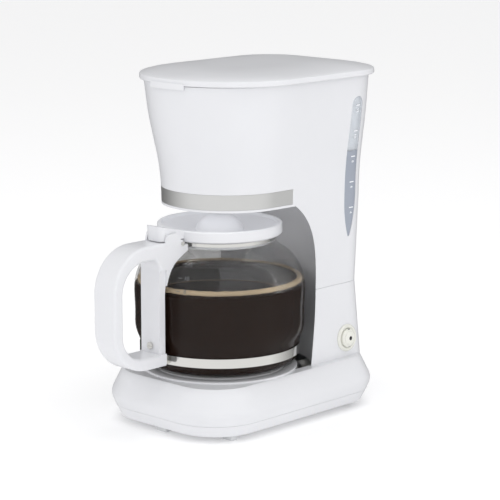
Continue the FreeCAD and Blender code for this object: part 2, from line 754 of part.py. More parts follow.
def make_spray_head():
    """Hollow disc that showers the grounds through a ring of holes."""
    head = rod(spray_r, at(0, 0, spray_low_z), Z_AXIS, spray_high_z - spray_low_z)
    head = head.cut(rod(spray_r - 1.6, at(0, 0, spray_low_z + 1.6), Z_AXIS,
                        spray_high_z - spray_low_z - 3.2))
    d = riser_direction()
    head = head.cut(rod(tube_r, VEC(0, axis_y, riser_z), d * -1, spray_r + 5))
    for n in range(spray_holes):
        a = 2 * math.pi * n / spray_holes
        head = head.cut(rod(1.2, at(9 * math.cos(a), 9 * math.sin(a), spray_low_z - 1), Z_AXIS, 4))
    return head


def hose_path(x, from_y, to_z):
    """From the heater's leg back and up, with one wide bend."""
    start = at(x, from_y, tube_z)
    turn = at(x, hose_y - hose_bend, tube_z)
    up = at(x, hose_y, tube_z + hose_bend)
    s = hose_bend * math.sqrt(0.5)
    mid = at(x, hose_y - hose_bend + s, tube_z + hose_bend - s)
    return [Part.makeLine(start, turn), Part.Arc(turn, mid, up).toShape(),
            Part.makeLine(up, at(x, hose_y, to_z))]


def make_hose(x, to_z):
    """Silicone hose pushed over the heater's leg and the fitting above."""
    return swept(hose_path(x, tube_leg - spigot_length, to_z), hose_r, hose_bore_r)


def make_check_valve_body():
    """In-line valve under the tank's outlet, with a loose ball in its chamber."""
    low, top = valve_body_low_z, valve_body_top_z
    body = rod(valve_body_r, at(tube_bend, hose_y, low), Z_AXIS, top - low)
    barb = rod(tube_r, at(tube_bend, hose_y, low - spigot_length), Z_AXIS, spigot_length + 1)
    body = body.fuse(barb)
    body = body.cut(rod(seat_r, at(tube_bend, hose_y, low - 20), Z_AXIS, 60))
    chamber = 2 * ball_r + ball_lift + 2 * touch_gap
    body = body.cut(rod(chamber_r, at(tube_bend, hose_y, low + seat_thick), Z_AXIS, chamber))
    socket = tank_floor_z - spigot_length
    return body.cut(rod(tube_r, at(tube_bend, hose_y, socket), Z_AXIS, 20))


def make_check_ball():
    """Ball resting on the chamber's floor."""
    floor = valve_body_low_z + seat_thick
    return Part.makeSphere(ball_r, at(tube_bend, hose_y, floor + touch_gap + ball_r))


def make_hose_clips():
    """Four spring clips round the hose ends."""
    clips = []
    for x, top in ((tube_bend, valve_body_low_z), (-tube_bend, tank_floor_z)):
        for centre, direction in ((at(x, tube_leg - 5, tube_z), Y_AXIS),
                                  (at(x, hose_y, top - 6), Z_AXIS)):
            ring = rod(hose_r + clip_thick, centre, direction, 4).cut(rod(hose_r, centre, direction, 4))
            clips.append(ring)
    return Part.makeCompound(clips)


# ---------------------------------------------------------------- warming plate and heater
def make_warming_plate():
    """Coated steel pan, upside down, that the carafe stands on."""
    t, z = plate_thick, plate_top_z
    return lathe([(0, z - t), (0, z), (plate_r - 1.5, z), (plate_r, z - 1.2),
                  (plate_r, z - ledge_drop), (plate_r - t, z - ledge_drop), (plate_r - t, z - t)])


def make_plate_ring():
    """Moulded ring that frames the plate and carries it on a ledge."""
    top, ledge = base_top_z + ring_rise, plate_top_z - ledge_drop
    bore, skirt = plate_r + 0.4, ring_hole_r - fit_gap * 2
    return lathe([(ledge_r, ledge - 2), (skirt, ledge - 2), (skirt, base_top_z), (ring_r, base_top_z),
                  (ring_r, top - 0.9), (ring_r - 0.4, top - 0.25), (ring_r - 1.4, top),
                  (bore + 1.0, top), (bore, top - 0.7), (bore, ledge), (ledge_r, ledge)])


def make_heat_spreader():
    """Aluminium ring between the heater and the plate."""
    z0, z1 = heater_top_z, plate_top_z - plate_thick
    return lathe([(tube_bend - 6, z0), (rod_bend + 6, z0), (rod_bend + 6, z1), (tube_bend - 6, z1)])


def u_path(bend, leg, z):
    """A U in a level plane: two legs back and a half circle round the front."""
    front = Part.Arc(at(-bend, 0, z), at(0, -bend, z), at(bend, 0, z)).toShape()
    return [Part.makeLine(at(-bend, leg, z), at(-bend, 0, z)), front,
            Part.makeLine(at(bend, 0, z), at(bend, leg, z))]


def make_heater_tube():
    """Aluminium water tube."""
    return swept(u_path(tube_bend, tube_leg, tube_z), tube_r, tube_bore_r)


def make_heater_rod():
    """Sheathed heating rod beside the water tube."""
    return swept(u_path(rod_bend, rod_leg, rod_z), rod_r)


def make_heater_bracket():
    """Steel bar under the heater, drawn up by the bracket screw."""
    z = tube_z - tube_r
    bar = block(-48, 48, -7, 7, z - 1.5, z)
    return bar.cut(rod(bracket_screw_r, at(0, 0, z - 5), Z_AXIS, 10))


def make_bracket_screw():
    """Screw from the bracket up to the plate."""
    z = tube_z - tube_r - 1.5
    head = rod(3.8, at(0, 0, z - 2.4), Z_AXIS, 2.4)
    return head.fuse(rod(bracket_screw_r, at(0, 0, z), Z_AXIS, plate_top_z - plate_thick - z))


def make_thermostat():
    """Disc thermostat under the plate."""
    z = plate_top_z - plate_thick
    can = rod(8.0, at(0, 17, z - 7), Z_AXIS, 7)
    tabs = block(-6, -3, 16, 18, z - 14, z - 6).fuse(block(3, 6, 16, 18, z - 14, z - 6))
    return can.fuse(tabs)


def make_thermal_fuse():
    """Small fuse in a sleeve, lying under the plate."""
    z = plate_top_z - plate_thick
    return rod(fuse_r, at(-10, -16, z - fuse_r - fit_gap), X_AXIS, 20)


# ---------------------------------------------------------------- switch and inlet
def on_switch(shape):
    """Move a shape from the switch's own frame, +X outward, onto the tower's side."""
    lean = (tower_foot_half - tower_half) / (tower_seam_z - base_top_z)
    face_x = tower_half + lean * (tower_seam_z - switch_z)
    moved = shape.copy()
    moved.rotate(VEC(0, 0, 0), Y_AXIS, -math.degrees(math.atan(lean)))
    moved.translate(at(face_x, switch_y, switch_z))
    return moved


def turned_x(points):
    """A closed (x, radius) polygon turned about the X axis."""
    corners = [VEC(x, 0, r) for x, r in points]
    return Part.Face(Part.makePolygon(corners + corners[:1])).revolve(VEC(0, 0, 0), X_AXIS, 360)


def make_switch_bezel():
    """Round flange and barrel through the tower's side."""
    bore = button_r + touch_gap
    return on_switch(turned_x([(-barrel_depth, bore), (-barrel_depth, barrel_r), (0, barrel_r),
                               (0, bezel_r), (0.9, bezel_r), (bezel_proud, bezel_r - 1.3),
                               (bezel_proud, bore + 1.1), (bezel_proud - 0.9, bore)]))


def make_power_button():
    """Round push button with a raised inner step."""
    step = button_r - 2.2
    cap = turned_x([(-button_depth, 0), (-button_depth, button_r), (button_proud - 2.4, button_r),
                    (button_proud - 1.6, button_r - 0.8), (button_proud - 1.2, step + 0.3),
                    (button_proud - 0.4, step), (button_proud, step - 0.8), (button_proud, 0)])
    return on_switch(cap.cut(rod(lens_r, VEC(button_proud - 1.5, 0, 0), X_AXIS, 5)))


def make_indicator_lens():
    """Dark lens in the middle of the button."""
    p = button_proud
    return on_switch(turned_x([(p - 1.5, 0), (p - 1.5, lens_r), (p, lens_r), (p + 0.35, lens_r * 0.6),
                               (p + 0.45, 0)]))


def make_switch_body():
    """Contact block behind the button, with its terminals."""
    front = -barrel_depth
    case = Part.makeBox(9, 17, 17, VEC(front - 9, -8.5, -8.5))
    tabs = [Part.makeBox(5, 0.8, 4, VEC(front - 14, y, -2)) for y in (-5, 4.2)]
    return on_switch(case.fuse(tabs))


def make_cord_gland():
    """Rubber bush in the rear wall with an empty bore for the mains lead."""
    y = gland_face_y
    bush = rod(gland_neck_r, at(gland_x, y - gland_length + 4, gland_z), Y_AXIS, gland_length)
    outer = rod(gland_flange_r, at(gland_x, y, gland_z), Y_AXIS, 2.2)
    bush = bush.fuse(outer)
    return bush.cut(rod(gland_bore_r, at(gland_x, y - 30, gland_z), Y_AXIS, 60))


def make_terminal_block():
    """Three-way screw terminal on the base cover."""
    z = foot_height + wall
    body = block(-20, 14, 84, 98, z, z + 14)
    for n in range(3):
        x = -14 + n * 11
        body = body.cut(rod(2.4, at(x, 91, z + 8), Z_AXIS, 10))
        body = body.cut(rod(2.0, at(x, 80, z + 5), Y_AXIS, 30))
    return body


# ---------------------------------------------------------------- carafe
def glass_curve(inset):
    """The glass's side from the bottom corner up to the neck."""
    r, b = glass_belly_r - inset, glass_band_r - inset
    curve = [(glass_bottom_r - inset, glass_bottom_z + inset)]
    curve.append((b - 2.3, glass_bottom_z + 4.6 + inset * 0.6))
    curve.append((b, clamp_low_z))
    curve.append((b, clamp_low_z + clamp_height))
    curve.append((r - 1.6, 79.0))
    curve.append((r - 0.6, 97.0))
    curve.append((r, glass_belly_z))
    curve.append((r - 1.8, 129.0))
    curve.append((r - 7.6, 141.0))
    curve.append((r - 17.0, 150.5))
    curve.append((neck_r - inset + 1.2, neck_low_z - 1.5))
    curve.append((neck_r - inset, neck_low_z + 0.5))
    return curve


def make_carafe_glass():
    """Blown jug: flat bottom, straight band zone, belly, shoulder and neck."""
    outer = curved_lathe(glass_bottom_z, glass_curve(0), neck_top_z)
    inner = curved_lathe(glass_bottom_z + glass_wall, glass_curve(glass_wall), neck_top_z + 5)
    return outer.cut(inner)


def make_carafe_band():
    """Steel hoop round the foot of the glass, with a tab that the handle is screwed to."""
    inner, outer = glass_band_r + 0.25, glass_band_r + 0.25 + clamp_thick
    z0, z1 = clamp_low_z, clamp_low_z + clamp_height
    hoop = lathe([(inner, z0), (outer, z0), (outer, z1), (inner, z1)])
    foot = block(-6, 6, -spine_back + 0.1, -inner - 0.2, z0, z1)
    tab = block(-6, 6, -spine_back + 0.1, -spine_back + 1.0, z0, z1 + 16)
    band = hoop.fuse([foot, tab])
    return band.cut(rod(handle_screw_r, at(0, -spine_back - 5, handle_screw_z), Y_AXIS, 10))


def make_carafe_collar():
    """Thin steel strap round the neck, with a tab into the handle's root."""
    inner = neck_r + 0.2
    z1 = neck_top_z - 0.3
    z0 = z1 - collar_height
    hoop = lathe([(inner, z0), (inner + collar_thick, z0), (inner + collar_thick, z1), (inner, z1)])
    tab = block(-5, 5, -handle_root, -inner - 0.2, z0, z1)
    return hoop.fuse(tab)


def make_carafe_handle():
    """D-shaped handle: strap, arms, the spine beside the glass and two ears for the lid."""
    h = handle_half

    def p(y, z):
        return at(-h, -y, z)

    def bend(y, z, radius, quarter):
        """Arc round a corner centre, front upper or front lower."""
        s = radius * math.sqrt(0.5)
        if quarter == "upper":
            return Part.Arc(p(y, z + radius), p(y + s, z + s), p(y + radius, z)).toShape()
        return Part.Arc(p(y + radius, z), p(y + s, z - s), p(y, z - radius)).toShape()

    root = handle_root
    cy = handle_reach - handle_bend
    top, low = handle_top_z, handle_low_z
    shoulder = Part.BSplineCurve()
    shoulder.interpolate([p(spine_back, spine_top_z), p(spine_back - 3.0, 137.0), p(spine_back - 10.5, 148.5),
                          p(root + 5.5, neck_low_z - 2.0), p(root, neck_low_z + 1.2)])
    outer = [Part.makeLine(p(jug_lid_r + 2.0, top), p(cy, top)),
             bend(cy, top - handle_bend, handle_bend, "upper"),
             Part.makeLine(p(handle_reach, top - handle_bend), p(handle_reach, low + handle_bend)),
             bend(cy, low + handle_bend, handle_bend, "lower"),
             Part.makeLine(p(cy, low), p(spine_back, low)),
             Part.makeLine(p(spine_back, low), p(spine_back, spine_top_z)),
             shoulder.toShape(),
             Part.makeLine(p(root, neck_low_z + 1.2), p(root, top - 4.0)),
             Part.makeLine(p(root, top - 4.0), p(jug_lid_r + 2.0, top - 4.0)),
             Part.makeLine(p(jug_lid_r + 2.0, top - 4.0), p(jug_lid_r + 2.0, top))]
    solid = side_prism(outer, h)
    iy, it, il = handle_reach - strap_thick, top - arm_thick, low + strap_thick + 0.5
    up_r, lo_r = grip_upper_r, grip_lower_r
    gap = [Part.makeLine(p(spine_front + 6, it), p(iy - up_r, it)),
           bend(iy - up_r, it - up_r, up_r, "upper"),
           Part.makeLine(p(iy, it - up_r), p(iy, il + lo_r)),
           bend(iy - lo_r, il + lo_r, lo_r, "lower"),
           Part.makeLine(p(iy - lo_r, il), p(spine_front, il)),
           Part.makeLine(p(spine_front, il), p(spine_front, it - 14)),
           Part.Arc(p(spine_front, it - 14), p(spine_front + 1.2, it - 5), p(spine_front + 6, it)).toShape()]
    solid = solid.cut(side_prism(gap, h))
    rounded = edges_where(solid, lambda c, e: abs(abs(c.x) - h) < 0.01
                          and (axis_y - c.y) > spine_front + 1 and e.Length > 8)
    solid = solid.makeFillet(2.6, rounded)
    for side in (-1, 1):
        x0, x1 = sorted((side * spine_half, side * (h + 1)))
        solid = solid.cut(block(x0, x1, -spine_front, -spine_back + 1, il, it - 10))
        x0, x1 = sorted((side * (h - ear_thick), side * h))
        ear = side_polygon([(-lever_pin_y - 8, top - 1.5), (-lever_pin_y - 6, lever_pin_z + 4),
                            (-lever_pin_y + 5, lever_pin_z + 5), (-lever_pin_y + 9, lever_pin_z + 1),
                            (-lever_pin_y + 10, top - 1.5)], x0, x1)
        solid = solid.fuse(ear)
    solid = solid.cut(rod(lever_pin_r, VEC(-30, axis_y - lever_pin_y, lever_pin_z), X_AXIS, 60))
    solid = solid.cut(rod(handle_screw_r, at(0, -spine_front - 3, handle_screw_z), Y_AXIS, 20))
    solid = solid.cut(rod(collar_screw_r, at(h - 6, -side_screw_y, side_screw_z), X_AXIS, 20))
    lever_room = block(-h + ear_thick - touch_gap, h - ear_thick + touch_gap, -lever_reach - 2,
                       -jug_lid_r + 6, top - 0.2, top + 20)
    return solid.cut(lever_room)


def make_carafe_lid():
    """Dished cap with a raised dome in the middle and a thumb lever over the handle."""
    z, top = jug_lid_z, jug_lid_z + jug_lid_height
    plug_out, plug_in = neck_r - glass_wall - 0.8, neck_r - glass_wall - 2.6
    plug_low = neck_low_z + 1.0
    cap = lathe([(0, z), (plug_in, z), (plug_in, plug_low), (plug_out, plug_low), (plug_out, z),
                 (jug_lid_r - 1.2, z), (jug_lid_r, z + 1.2), (jug_lid_r, top - 1.0),
                 (jug_lid_r - 1.0, top), (jug_lid_r - 3.2, top), (jug_lid_r - 5.0, top - 2.2),
                 (dome_r + 8, z + 3.4), (0, z + 3.2)])
    base_z = z + 3.0
    rise = dome_top_z - base_z
    ball = (dome_r ** 2 + rise ** 2) / (2 * rise)
    dome = Part.makeSphere(ball, at(0, 0, dome_top_z - ball)).common(slab(base_z, dome_top_z + 1))
    hollow = Part.makeSphere(ball - 2.0, at(0, 0, dome_top_z - ball)).common(slab(z - 1, dome_top_z))
    cap = cap.fuse(dome).cut(hollow)
    cap = cap.cut(rod(2.5, at(0, 0, dome_top_z - 6), Z_AXIS, 10))
    half = handle_half - ear_thick - touch_gap
    low = handle_top_z + 0.6
    lever = side_polygon([(-jug_lid_r + 3, low), (-jug_lid_r + 3, top - 0.5), (-jug_lid_r - 6, top + 2.0),
                          (-lever_reach, lever_top_z),
                          (-lever_reach + 1.5, low)], -half, half)
    nose = edges_where(lever, lambda c, e: abs(e.BoundBox.XLength) < 0.01
                       and c.y - axis_y < -lever_reach + 2 and e.BoundBox.ZLength > 5)
    lever = lever.makeFillet(lever_nose_r, nose)
    cap = cap.fuse(lever)
    return cap.cut(rod(lever_pin_r, VEC(-30, axis_y - lever_pin_y, lever_pin_z), X_AXIS, 60))


def make_carafe_lid_pin():
    """Pin through the handle's ears and the lid's lever."""
    return rod(lever_pin_r, VEC(-handle_half, axis_y - lever_pin_y, lever_pin_z), X_AXIS,
               2 * handle_half)


def make_handle_screw():
    """Screw through the spine into the band's tab."""
    z = handle_screw_z
    head = rod(3.2, at(0, -spine_front - 1.6, z), Y_AXIS, 1.6)
    head = head.cut(block(-3.5, 3.5, -spine_front - 2.0, -spine_front - 1.0, z - 0.4, z + 0.4))
    return head.fuse(rod(handle_screw_r, at(0, -spine_front, z), Y_AXIS, spine_front - spine_back + 1.2))


def make_collar_screw():
    """Clamp screw on the side of the handle's root."""
    y, z, x = -side_screw_y, side_screw_z, handle_half
    head = rod(1.9, at(x, y, z), X_AXIS, 1.1)
    head = head.cut(block(x + 0.6, x + 2, y - 3, y + 3, z - 0.35, z + 0.35))
    return head.fuse(rod(collar_screw_r, at(x - 6, y, z), X_AXIS, 6))


# ---------------------------------------------------------------- the pieces
def pieces():
    """Every piece of the machine by name."""
    parts = {
        "upper_housing": make_upper_housing(),
        "lower_housing": make_lower_housing(),
        "base_cover": make_base_cover(),
        "base_screws": make_base_screws(),
        "head_trim_band": make_head_trim_band(),
        "gauge_window": make_gauge_window(),
        "lid": make_lid(),
        "lid_hinge_pin": make_lid_hinge_pin(),
        "water_tank": make_water_tank(),
        "filter_basket": make_filter_basket(),
        "valve_cage": make_valve_cage(),
        "drip_valve": make_drip_valve(),
        "valve_seal": make_valve_seal(),
        "valve_spring": make_valve_spring(),
        "filter_mesh": make_filter_mesh(),
        "filter_frame": make_filter_frame(),
        "riser_tube": make_riser_tube(),
        "spray_head": make_spray_head(),
        "cold_hose": make_hose(tube_bend, valve_body_low_z),
        "hot_hose": make_hose(-tube_bend, tank_floor_z),
        "check_valve_body": make_check_valve_body(),
        "check_ball": make_check_ball(),
        "hose_clips": make_hose_clips(),
        "warming_plate": make_warming_plate(),
        "plate_ring": make_plate_ring(),
        "heat_spreader": make_heat_spreader(),
        "heater_tube": make_heater_tube(),
        "heater_rod": make_heater_rod(),
        "heater_bracket": make_heater_bracket(),
        "bracket_screw": make_bracket_screw(),
        "thermostat": make_thermostat(),
        "thermal_fuse": make_thermal_fuse(),
        "switch_bezel": make_switch_bezel(),
        "switch_body": make_switch_body(),
        "power_button": make_power_button(),
        "indicator_lens": make_indicator_lens(),
        "cord_gland": make_cord_gland(),
        "terminal_block": make_terminal_block(),
        "carafe_glass": make_carafe_glass(),
        "carafe_band": make_carafe_band(),
        "carafe_collar": make_carafe_collar(),
        "carafe_handle": make_carafe_handle(),
        "carafe_lid": make_carafe_lid(),
        "carafe_lid_pin": make_carafe_lid_pin(),
        "handle_screw": make_handle_screw(),
        "collar_screw": make_collar_screw(),
    }
    for name, x, y in foot_places():
        parts[name] = make_foot(x, y)
    return parts


os.makedirs("parts", exist_ok=True)
for name, shape in pieces().items():
    shape.exportStep("parts/" + name + ".step")
    box = shape.BoundBox
    print(f"{name:18s} solids {len(shape.Solids)} valid {shape.isValid()} volume {shape.Volume:10.0f}"
          f"  x {box.XMin:7.1f} {box.XMax:7.1f}  y {box.YMin:7.1f} {box.YMax:7.1f}"
          f"  z {box.ZMin:6.1f} {box.ZMax:6.1f}")
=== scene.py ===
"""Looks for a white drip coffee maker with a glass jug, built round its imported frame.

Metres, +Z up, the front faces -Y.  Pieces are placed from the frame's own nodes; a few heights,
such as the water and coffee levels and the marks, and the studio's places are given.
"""

import json
import logging
import math
from dataclasses import dataclass, field
from enum import Enum
from typing import Callable

import bpy
from mathutils import Matrix, Vector
from mathutils.bvhtree import BVHTree


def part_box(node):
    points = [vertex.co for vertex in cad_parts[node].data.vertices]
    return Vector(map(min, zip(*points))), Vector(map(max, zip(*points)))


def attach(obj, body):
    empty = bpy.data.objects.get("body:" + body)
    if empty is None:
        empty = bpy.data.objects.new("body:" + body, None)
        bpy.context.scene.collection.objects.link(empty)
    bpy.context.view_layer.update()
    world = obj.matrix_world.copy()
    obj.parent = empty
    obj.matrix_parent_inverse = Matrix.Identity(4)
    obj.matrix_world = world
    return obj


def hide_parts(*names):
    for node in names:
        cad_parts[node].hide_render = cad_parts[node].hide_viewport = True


LOG = logging.getLogger("coffee_maker")

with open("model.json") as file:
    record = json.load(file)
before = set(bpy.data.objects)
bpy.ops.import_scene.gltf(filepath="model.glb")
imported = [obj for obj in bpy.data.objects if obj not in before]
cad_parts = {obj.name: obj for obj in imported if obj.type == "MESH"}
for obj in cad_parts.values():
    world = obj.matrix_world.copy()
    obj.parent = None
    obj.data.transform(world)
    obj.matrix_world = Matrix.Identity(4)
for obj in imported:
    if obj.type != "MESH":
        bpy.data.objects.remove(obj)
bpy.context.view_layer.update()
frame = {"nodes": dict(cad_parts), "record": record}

MM = 0.001
Colour = tuple[float, float, float]
Profile = list[tuple[float, float]]


# ------------------------------------------------------------------ the frame
def jug_axis() -> Vector:
    """The upright axis of the jug, at table height."""
    low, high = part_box("warming_plate")
    return Vector(((low.x + high.x) / 2, (low.y + high.y) / 2, 0.0))


def body_of_node(node: str) -> str:
    """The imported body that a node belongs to.

    Args:
        node: name of a CAD node.

    Returns:
        The body's name.
    """
    bodies = frame["record"]["behaviour"]["bodies"]
    return next(body for body, nodes in bodies.items() if node in nodes)


def slot_of_node(node: str) -> str:
    """The record's material slot of a node."""
    parts = frame["record"]["subparts"]
    return next(part["material_slot"] for part in parts if part["node"] == node)


def surface_tree(node: str) -> BVHTree:
    """A search tree over a node's faces, for finding where its surface lies."""
    mesh = frame["nodes"][node].data
    corners = [v.co.copy() for v in mesh.vertices]
    return BVHTree.FromPolygons(corners, [tuple(p.vertices) for p in mesh.polygons])


# ------------------------------------------------------------------ shared shader effects
def new_group(name: str, inputs: dict[str, tuple[str, float]], outputs: dict[str, str]):
    """Start a shader node group.

    Args:
        name: the group's name.
        inputs: socket name to (socket type, default value).
        outputs: socket name to socket type.

    Returns:
        The group, its input node and its output node.
    """
    group = bpy.data.node_groups.new(name, "ShaderNodeTree")
    for socket, (kind, value) in inputs.items():
        made = group.interface.new_socket(name=socket, in_out="INPUT", socket_type=kind)
        if kind == "NodeSocketFloat":
            made.default_value = value
    for socket, kind in outputs.items():
        group.interface.new_socket(name=socket, in_out="OUTPUT", socket_type=kind)
    return group, group.nodes.new("NodeGroupInput"), group.nodes.new("NodeGroupOutput")


def moulded_grain() -> bpy.types.NodeTree:
    """Fine spark-eroded grain with slow drift in tone, as on moulded plastic."""
    group, source, sink = new_group(
        "moulded_grain",
        {"Vector": ("NodeSocketVector", 0.0), "Scale": ("NodeSocketFloat", 1500.0)},
        {"Height": "NodeSocketFloat", "Drift": "NodeSocketFloat"})
    fine = group.nodes.new("ShaderNodeTexNoise")
    fine.inputs["Detail"].default_value = 3.0
    slow = group.nodes.new("ShaderNodeTexNoise")
    slow.inputs["Scale"].default_value = 22.0
    slow.inputs["Detail"].default_value = 4.0
    group.links.new(source.outputs["Vector"], fine.inputs["Vector"])
    group.links.new(source.outputs["Vector"], slow.inputs["Vector"])
    group.links.new(source.outputs["Scale"], fine.inputs["Scale"])
    group.links.new(fine.outputs["Fac"], sink.inputs["Height"])
    group.links.new(slow.outputs["Fac"], sink.inputs["Drift"])
    return group


def worn_edges() -> bpy.types.NodeTree:
    """A mask that is high along sharp outer edges, broken up so that it looks handled."""
    group, source, sink = new_group(
        "worn_edges",
        {"Vector": ("NodeSocketVector", 0.0), "Width": ("NodeSocketFloat", 0.08)},
        {"Mask": "NodeSocketFloat"})
    geometry = group.nodes.new("ShaderNodeNewGeometry")
    ramp = group.nodes.new("ShaderNodeMapRange")
    ramp.inputs["From Min"].default_value = 0.53
    top = group.nodes.new("ShaderNodeMath")
    top.operation = "ADD"
    top.inputs[0].default_value = 0.53
    breakup = group.nodes.new("ShaderNodeTexNoise")
    breakup.inputs["Scale"].default_value = 180.0
    both = group.nodes.new("ShaderNodeMath")
    both.operation = "MULTIPLY"
    group.links.new(source.outputs["Width"], top.inputs[1])
    group.links.new(top.outputs[0], ramp.inputs["From Max"])
    group.links.new(geometry.outputs["Pointiness"], ramp.inputs["Value"])
    group.links.new(source.outputs["Vector"], breakup.inputs["Vector"])
    group.links.new(ramp.outputs[0], both.inputs[0])
    group.links.new(breakup.outputs["Fac"], both.inputs[1])
    group.links.new(both.outputs[0], sink.inputs["Mask"])
    return group


def drawn_streaks() -> bpy.types.NodeTree:
    """Long thin scratches that run level round a piece, as on brushed metal."""
    group, source, sink = new_group(
        "drawn_streaks",
        {"Vector": ("NodeSocketVector", 0.0), "Across": ("NodeSocketFloat", 2600.0)},
        {"Height": "NodeSocketFloat", "Band": "NodeSocketFloat"})
    stretch = group.nodes.new("ShaderNodeMapping")
    join = group.nodes.new("ShaderNodeCombineXYZ")
    join.inputs["X"].default_value = 14.0
    join.inputs["Y"].default_value = 14.0
    fine = group.nodes.new("ShaderNodeTexNoise")
    fine.inputs["Scale"].default_value = 1.0
    fine.inputs["Detail"].default_value = 5.0
    broad = group.nodes.new("ShaderNodeTexNoise")
    broad.inputs["Scale"].default_value = 18.0
    group.links.new(source.outputs["Across"], join.inputs["Z"])
    group.links.new(join.outputs[0], stretch.inputs["Scale"])
    group.links.new(source.outputs["Vector"], stretch.inputs["Vector"])
    group.links.new(stretch.outputs[0], fine.inputs["Vector"])
    group.links.new(source.outputs["Vector"], broad.inputs["Vector"])
    group.links.new(fine.outputs["Fac"], sink.inputs["Height"])
    group.links.new(broad.outputs["Fac"], sink.inputs["Band"])
    return group


class Effect(Enum):
    """The shader effects that finishes share."""

    GRAIN = "moulded_grain"
    EDGES = "worn_edges"
    STREAKS = "drawn_streaks"


MAKERS: dict[Effect, Callable[[], bpy.types.NodeTree]] = {
    Effect.GRAIN: moulded_grain, Effect.EDGES: worn_edges, Effect.STREAKS: drawn_streaks}


def effect(tree: bpy.types.NodeTree, which: Effect) -> bpy.types.Node:
    """Place a shared effect in a material.

    Args:
        tree: the material's node tree.
        which: the effect to place; its group is built the first time.

    Returns:
        The group node.
    """
    node = tree.nodes.new("ShaderNodeGroup")
    node.node_tree = bpy.data.node_groups.get(which.value) or MAKERS[which]()
    return node


# ------------------------------------------------------------------ finishes
@dataclass(frozen=True)
class Finish:
    """A surface finish: colour, its drift, gloss, grain and wear."""

    name: str
    colour: Colour
    roughness: float = 0.4
    roughness_drift: float = 0.08
    tone_drift: float = 0.02
    metallic: float = 0.0
    grain: float = 1500.0
    bump: float = 0.05
    wear: float = 0.15
    wear_tone: float = 0.15
    coat: float = 0.0
    streaked: bool = False
    transmission: float = 0.0
    alpha: float = 1.0
    ior: float = 1.46

    def material(self) -> bpy.types.Material:
        """The material of this finish, built the first time it is asked for."""
        made = bpy.data.materials.get(self.name)
        return made if made else self._build()

    def _build(self) -> bpy.types.Material:
        """Build the node tree."""
        made = bpy.data.materials.new(self.name)
        made.use_nodes = True
        tree = made.node_tree
        shader = tree.nodes["Principled BSDF"]
        where = tree.nodes.new("ShaderNodeTexCoord")
        grain = effect(tree, Effect.STREAKS if self.streaked else Effect.GRAIN)
        tree.links.new(where.outputs["Object"], grain.inputs["Vector"])
        grain.inputs[1].default_value = self.grain
        drift = grain.outputs["Band" if self.streaked else "Drift"]

        tone = tree.nodes.new("ShaderNodeMix")
        tone.data_type = "RGBA"
        dark = [c * (1 - self.tone_drift) for c in self.colour]
        light = [min(1.0, c * (1 + self.tone_drift)) for c in self.colour]
        tone.inputs["A"].default_value = (*dark, 1.0)
        tone.inputs["B"].default_value = (*light, 1.0)
        tree.links.new(drift, tone.inputs["Factor"])

        edges = effect(tree, Effect.EDGES)
        tree.links.new(where.outputs["Object"], edges.inputs["Vector"])
        worn = tree.nodes.new("ShaderNodeMix")
        worn.data_type = "RGBA"
        rubbed = [c + (1 - c) * self.wear_tone for c in self.colour]
        worn.inputs["B"].default_value = (*rubbed, 1.0)
        amount = tree.nodes.new("ShaderNodeMath")
        amount.operation = "MULTIPLY"
        amount.inputs[1].default_value = self.wear
        tree.links.new(edges.outputs["Mask"], amount.inputs[0])
        tree.links.new(amount.outputs[0], worn.inputs["Factor"])
        tree.links.new(tone.outputs["Result"], worn.inputs["A"])
        tree.links.new(worn.outputs["Result"], shader.inputs["Base Color"])

        rough = tree.nodes.new("ShaderNodeMapRange")
        rough.inputs["To Min"].default_value = max(0.0, self.roughness - self.roughness_drift)
        rough.inputs["To Max"].default_value = self.roughness + self.roughness_drift
        tree.links.new(drift, rough.inputs["Value"])
        tree.links.new(rough.outputs[0], shader.inputs["Roughness"])

        bump = tree.nodes.new("ShaderNodeBump")
        bump.inputs["Strength"].default_value = self.bump
        bump.inputs["Distance"].default_value = 0.0001
        tree.links.new(grain.outputs["Height"], bump.inputs["Height"])
        tree.links.new(bump.outputs[0], shader.inputs["Normal"])

        shader.inputs["Metallic"].default_value = self.metallic
        shader.inputs["IOR"].default_value = self.ior
        shader.inputs["Coat Weight"].default_value = self.coat
        shader.inputs["Coat Roughness"].default_value = 0.12
        shader.inputs["Transmission Weight"].default_value = self.transmission
        shader.inputs["Alpha"].default_value = self.alpha
        return made


WHITE_SHELL = Finish("white_shell", (0.76, 0.765, 0.79), roughness=0.33, bump=0.10, coat=0.15)
IVORY = Finish("ivory_button", (0.80, 0.80, 0.74), roughness=0.28, bump=0.04, coat=0.25)
INNER_GREY = Finish("inner_grey", (0.52, 0.53, 0.55), roughness=0.5, bump=0.15)
TANK = Finish("tank_smoke", (0.62, 0.65, 0.69), roughness=0.45, bump=0.08)
BLACK = Finish("black_moulding", (0.025, 0.025, 0.028), roughness=0.5, bump=0.15, wear_tone=0.08)
LENS = Finish("dark_lens", (0.012, 0.008, 0.012), roughness=0.08, roughness_drift=0.03,
              tone_drift=0.2, bump=0.01, coat=0.6, wear=0.05)
BRUSHED = Finish("brushed_trim", (0.93, 0.925, 0.91), roughness=0.24, metallic=1.0, grain=2600.0,
                 bump=0.12, tone_drift=0.10, streaked=True)
POLISHED = Finish("polished_band", (0.70, 0.695, 0.67), roughness=0.13, roughness_drift=0.05,
                  metallic=1.0, grain=3200.0, bump=0.03, tone_drift=0.06, streaked=True)
STEEL = Finish("drawn_steel", (0.50, 0.50, 0.51), roughness=0.34, metallic=1.0, grain=1800.0,
               bump=0.1, tone_drift=0.08, streaked=True)
ALUMINIUM = Finish("raw_aluminium", (0.68, 0.69, 0.70), roughness=0.42, metallic=1.0, bump=0.2,
                   grain=900.0, tone_drift=0.06)
PLATE = Finish("plate_enamel", (0.74, 0.745, 0.76), roughness=0.3, bump=0.12, grain=700.0, coat=0.1)
WHITE_RUBBER = Finish("white_rubber", (0.66, 0.67, 0.68), roughness=0.75, bump=0.3, grain=900.0)
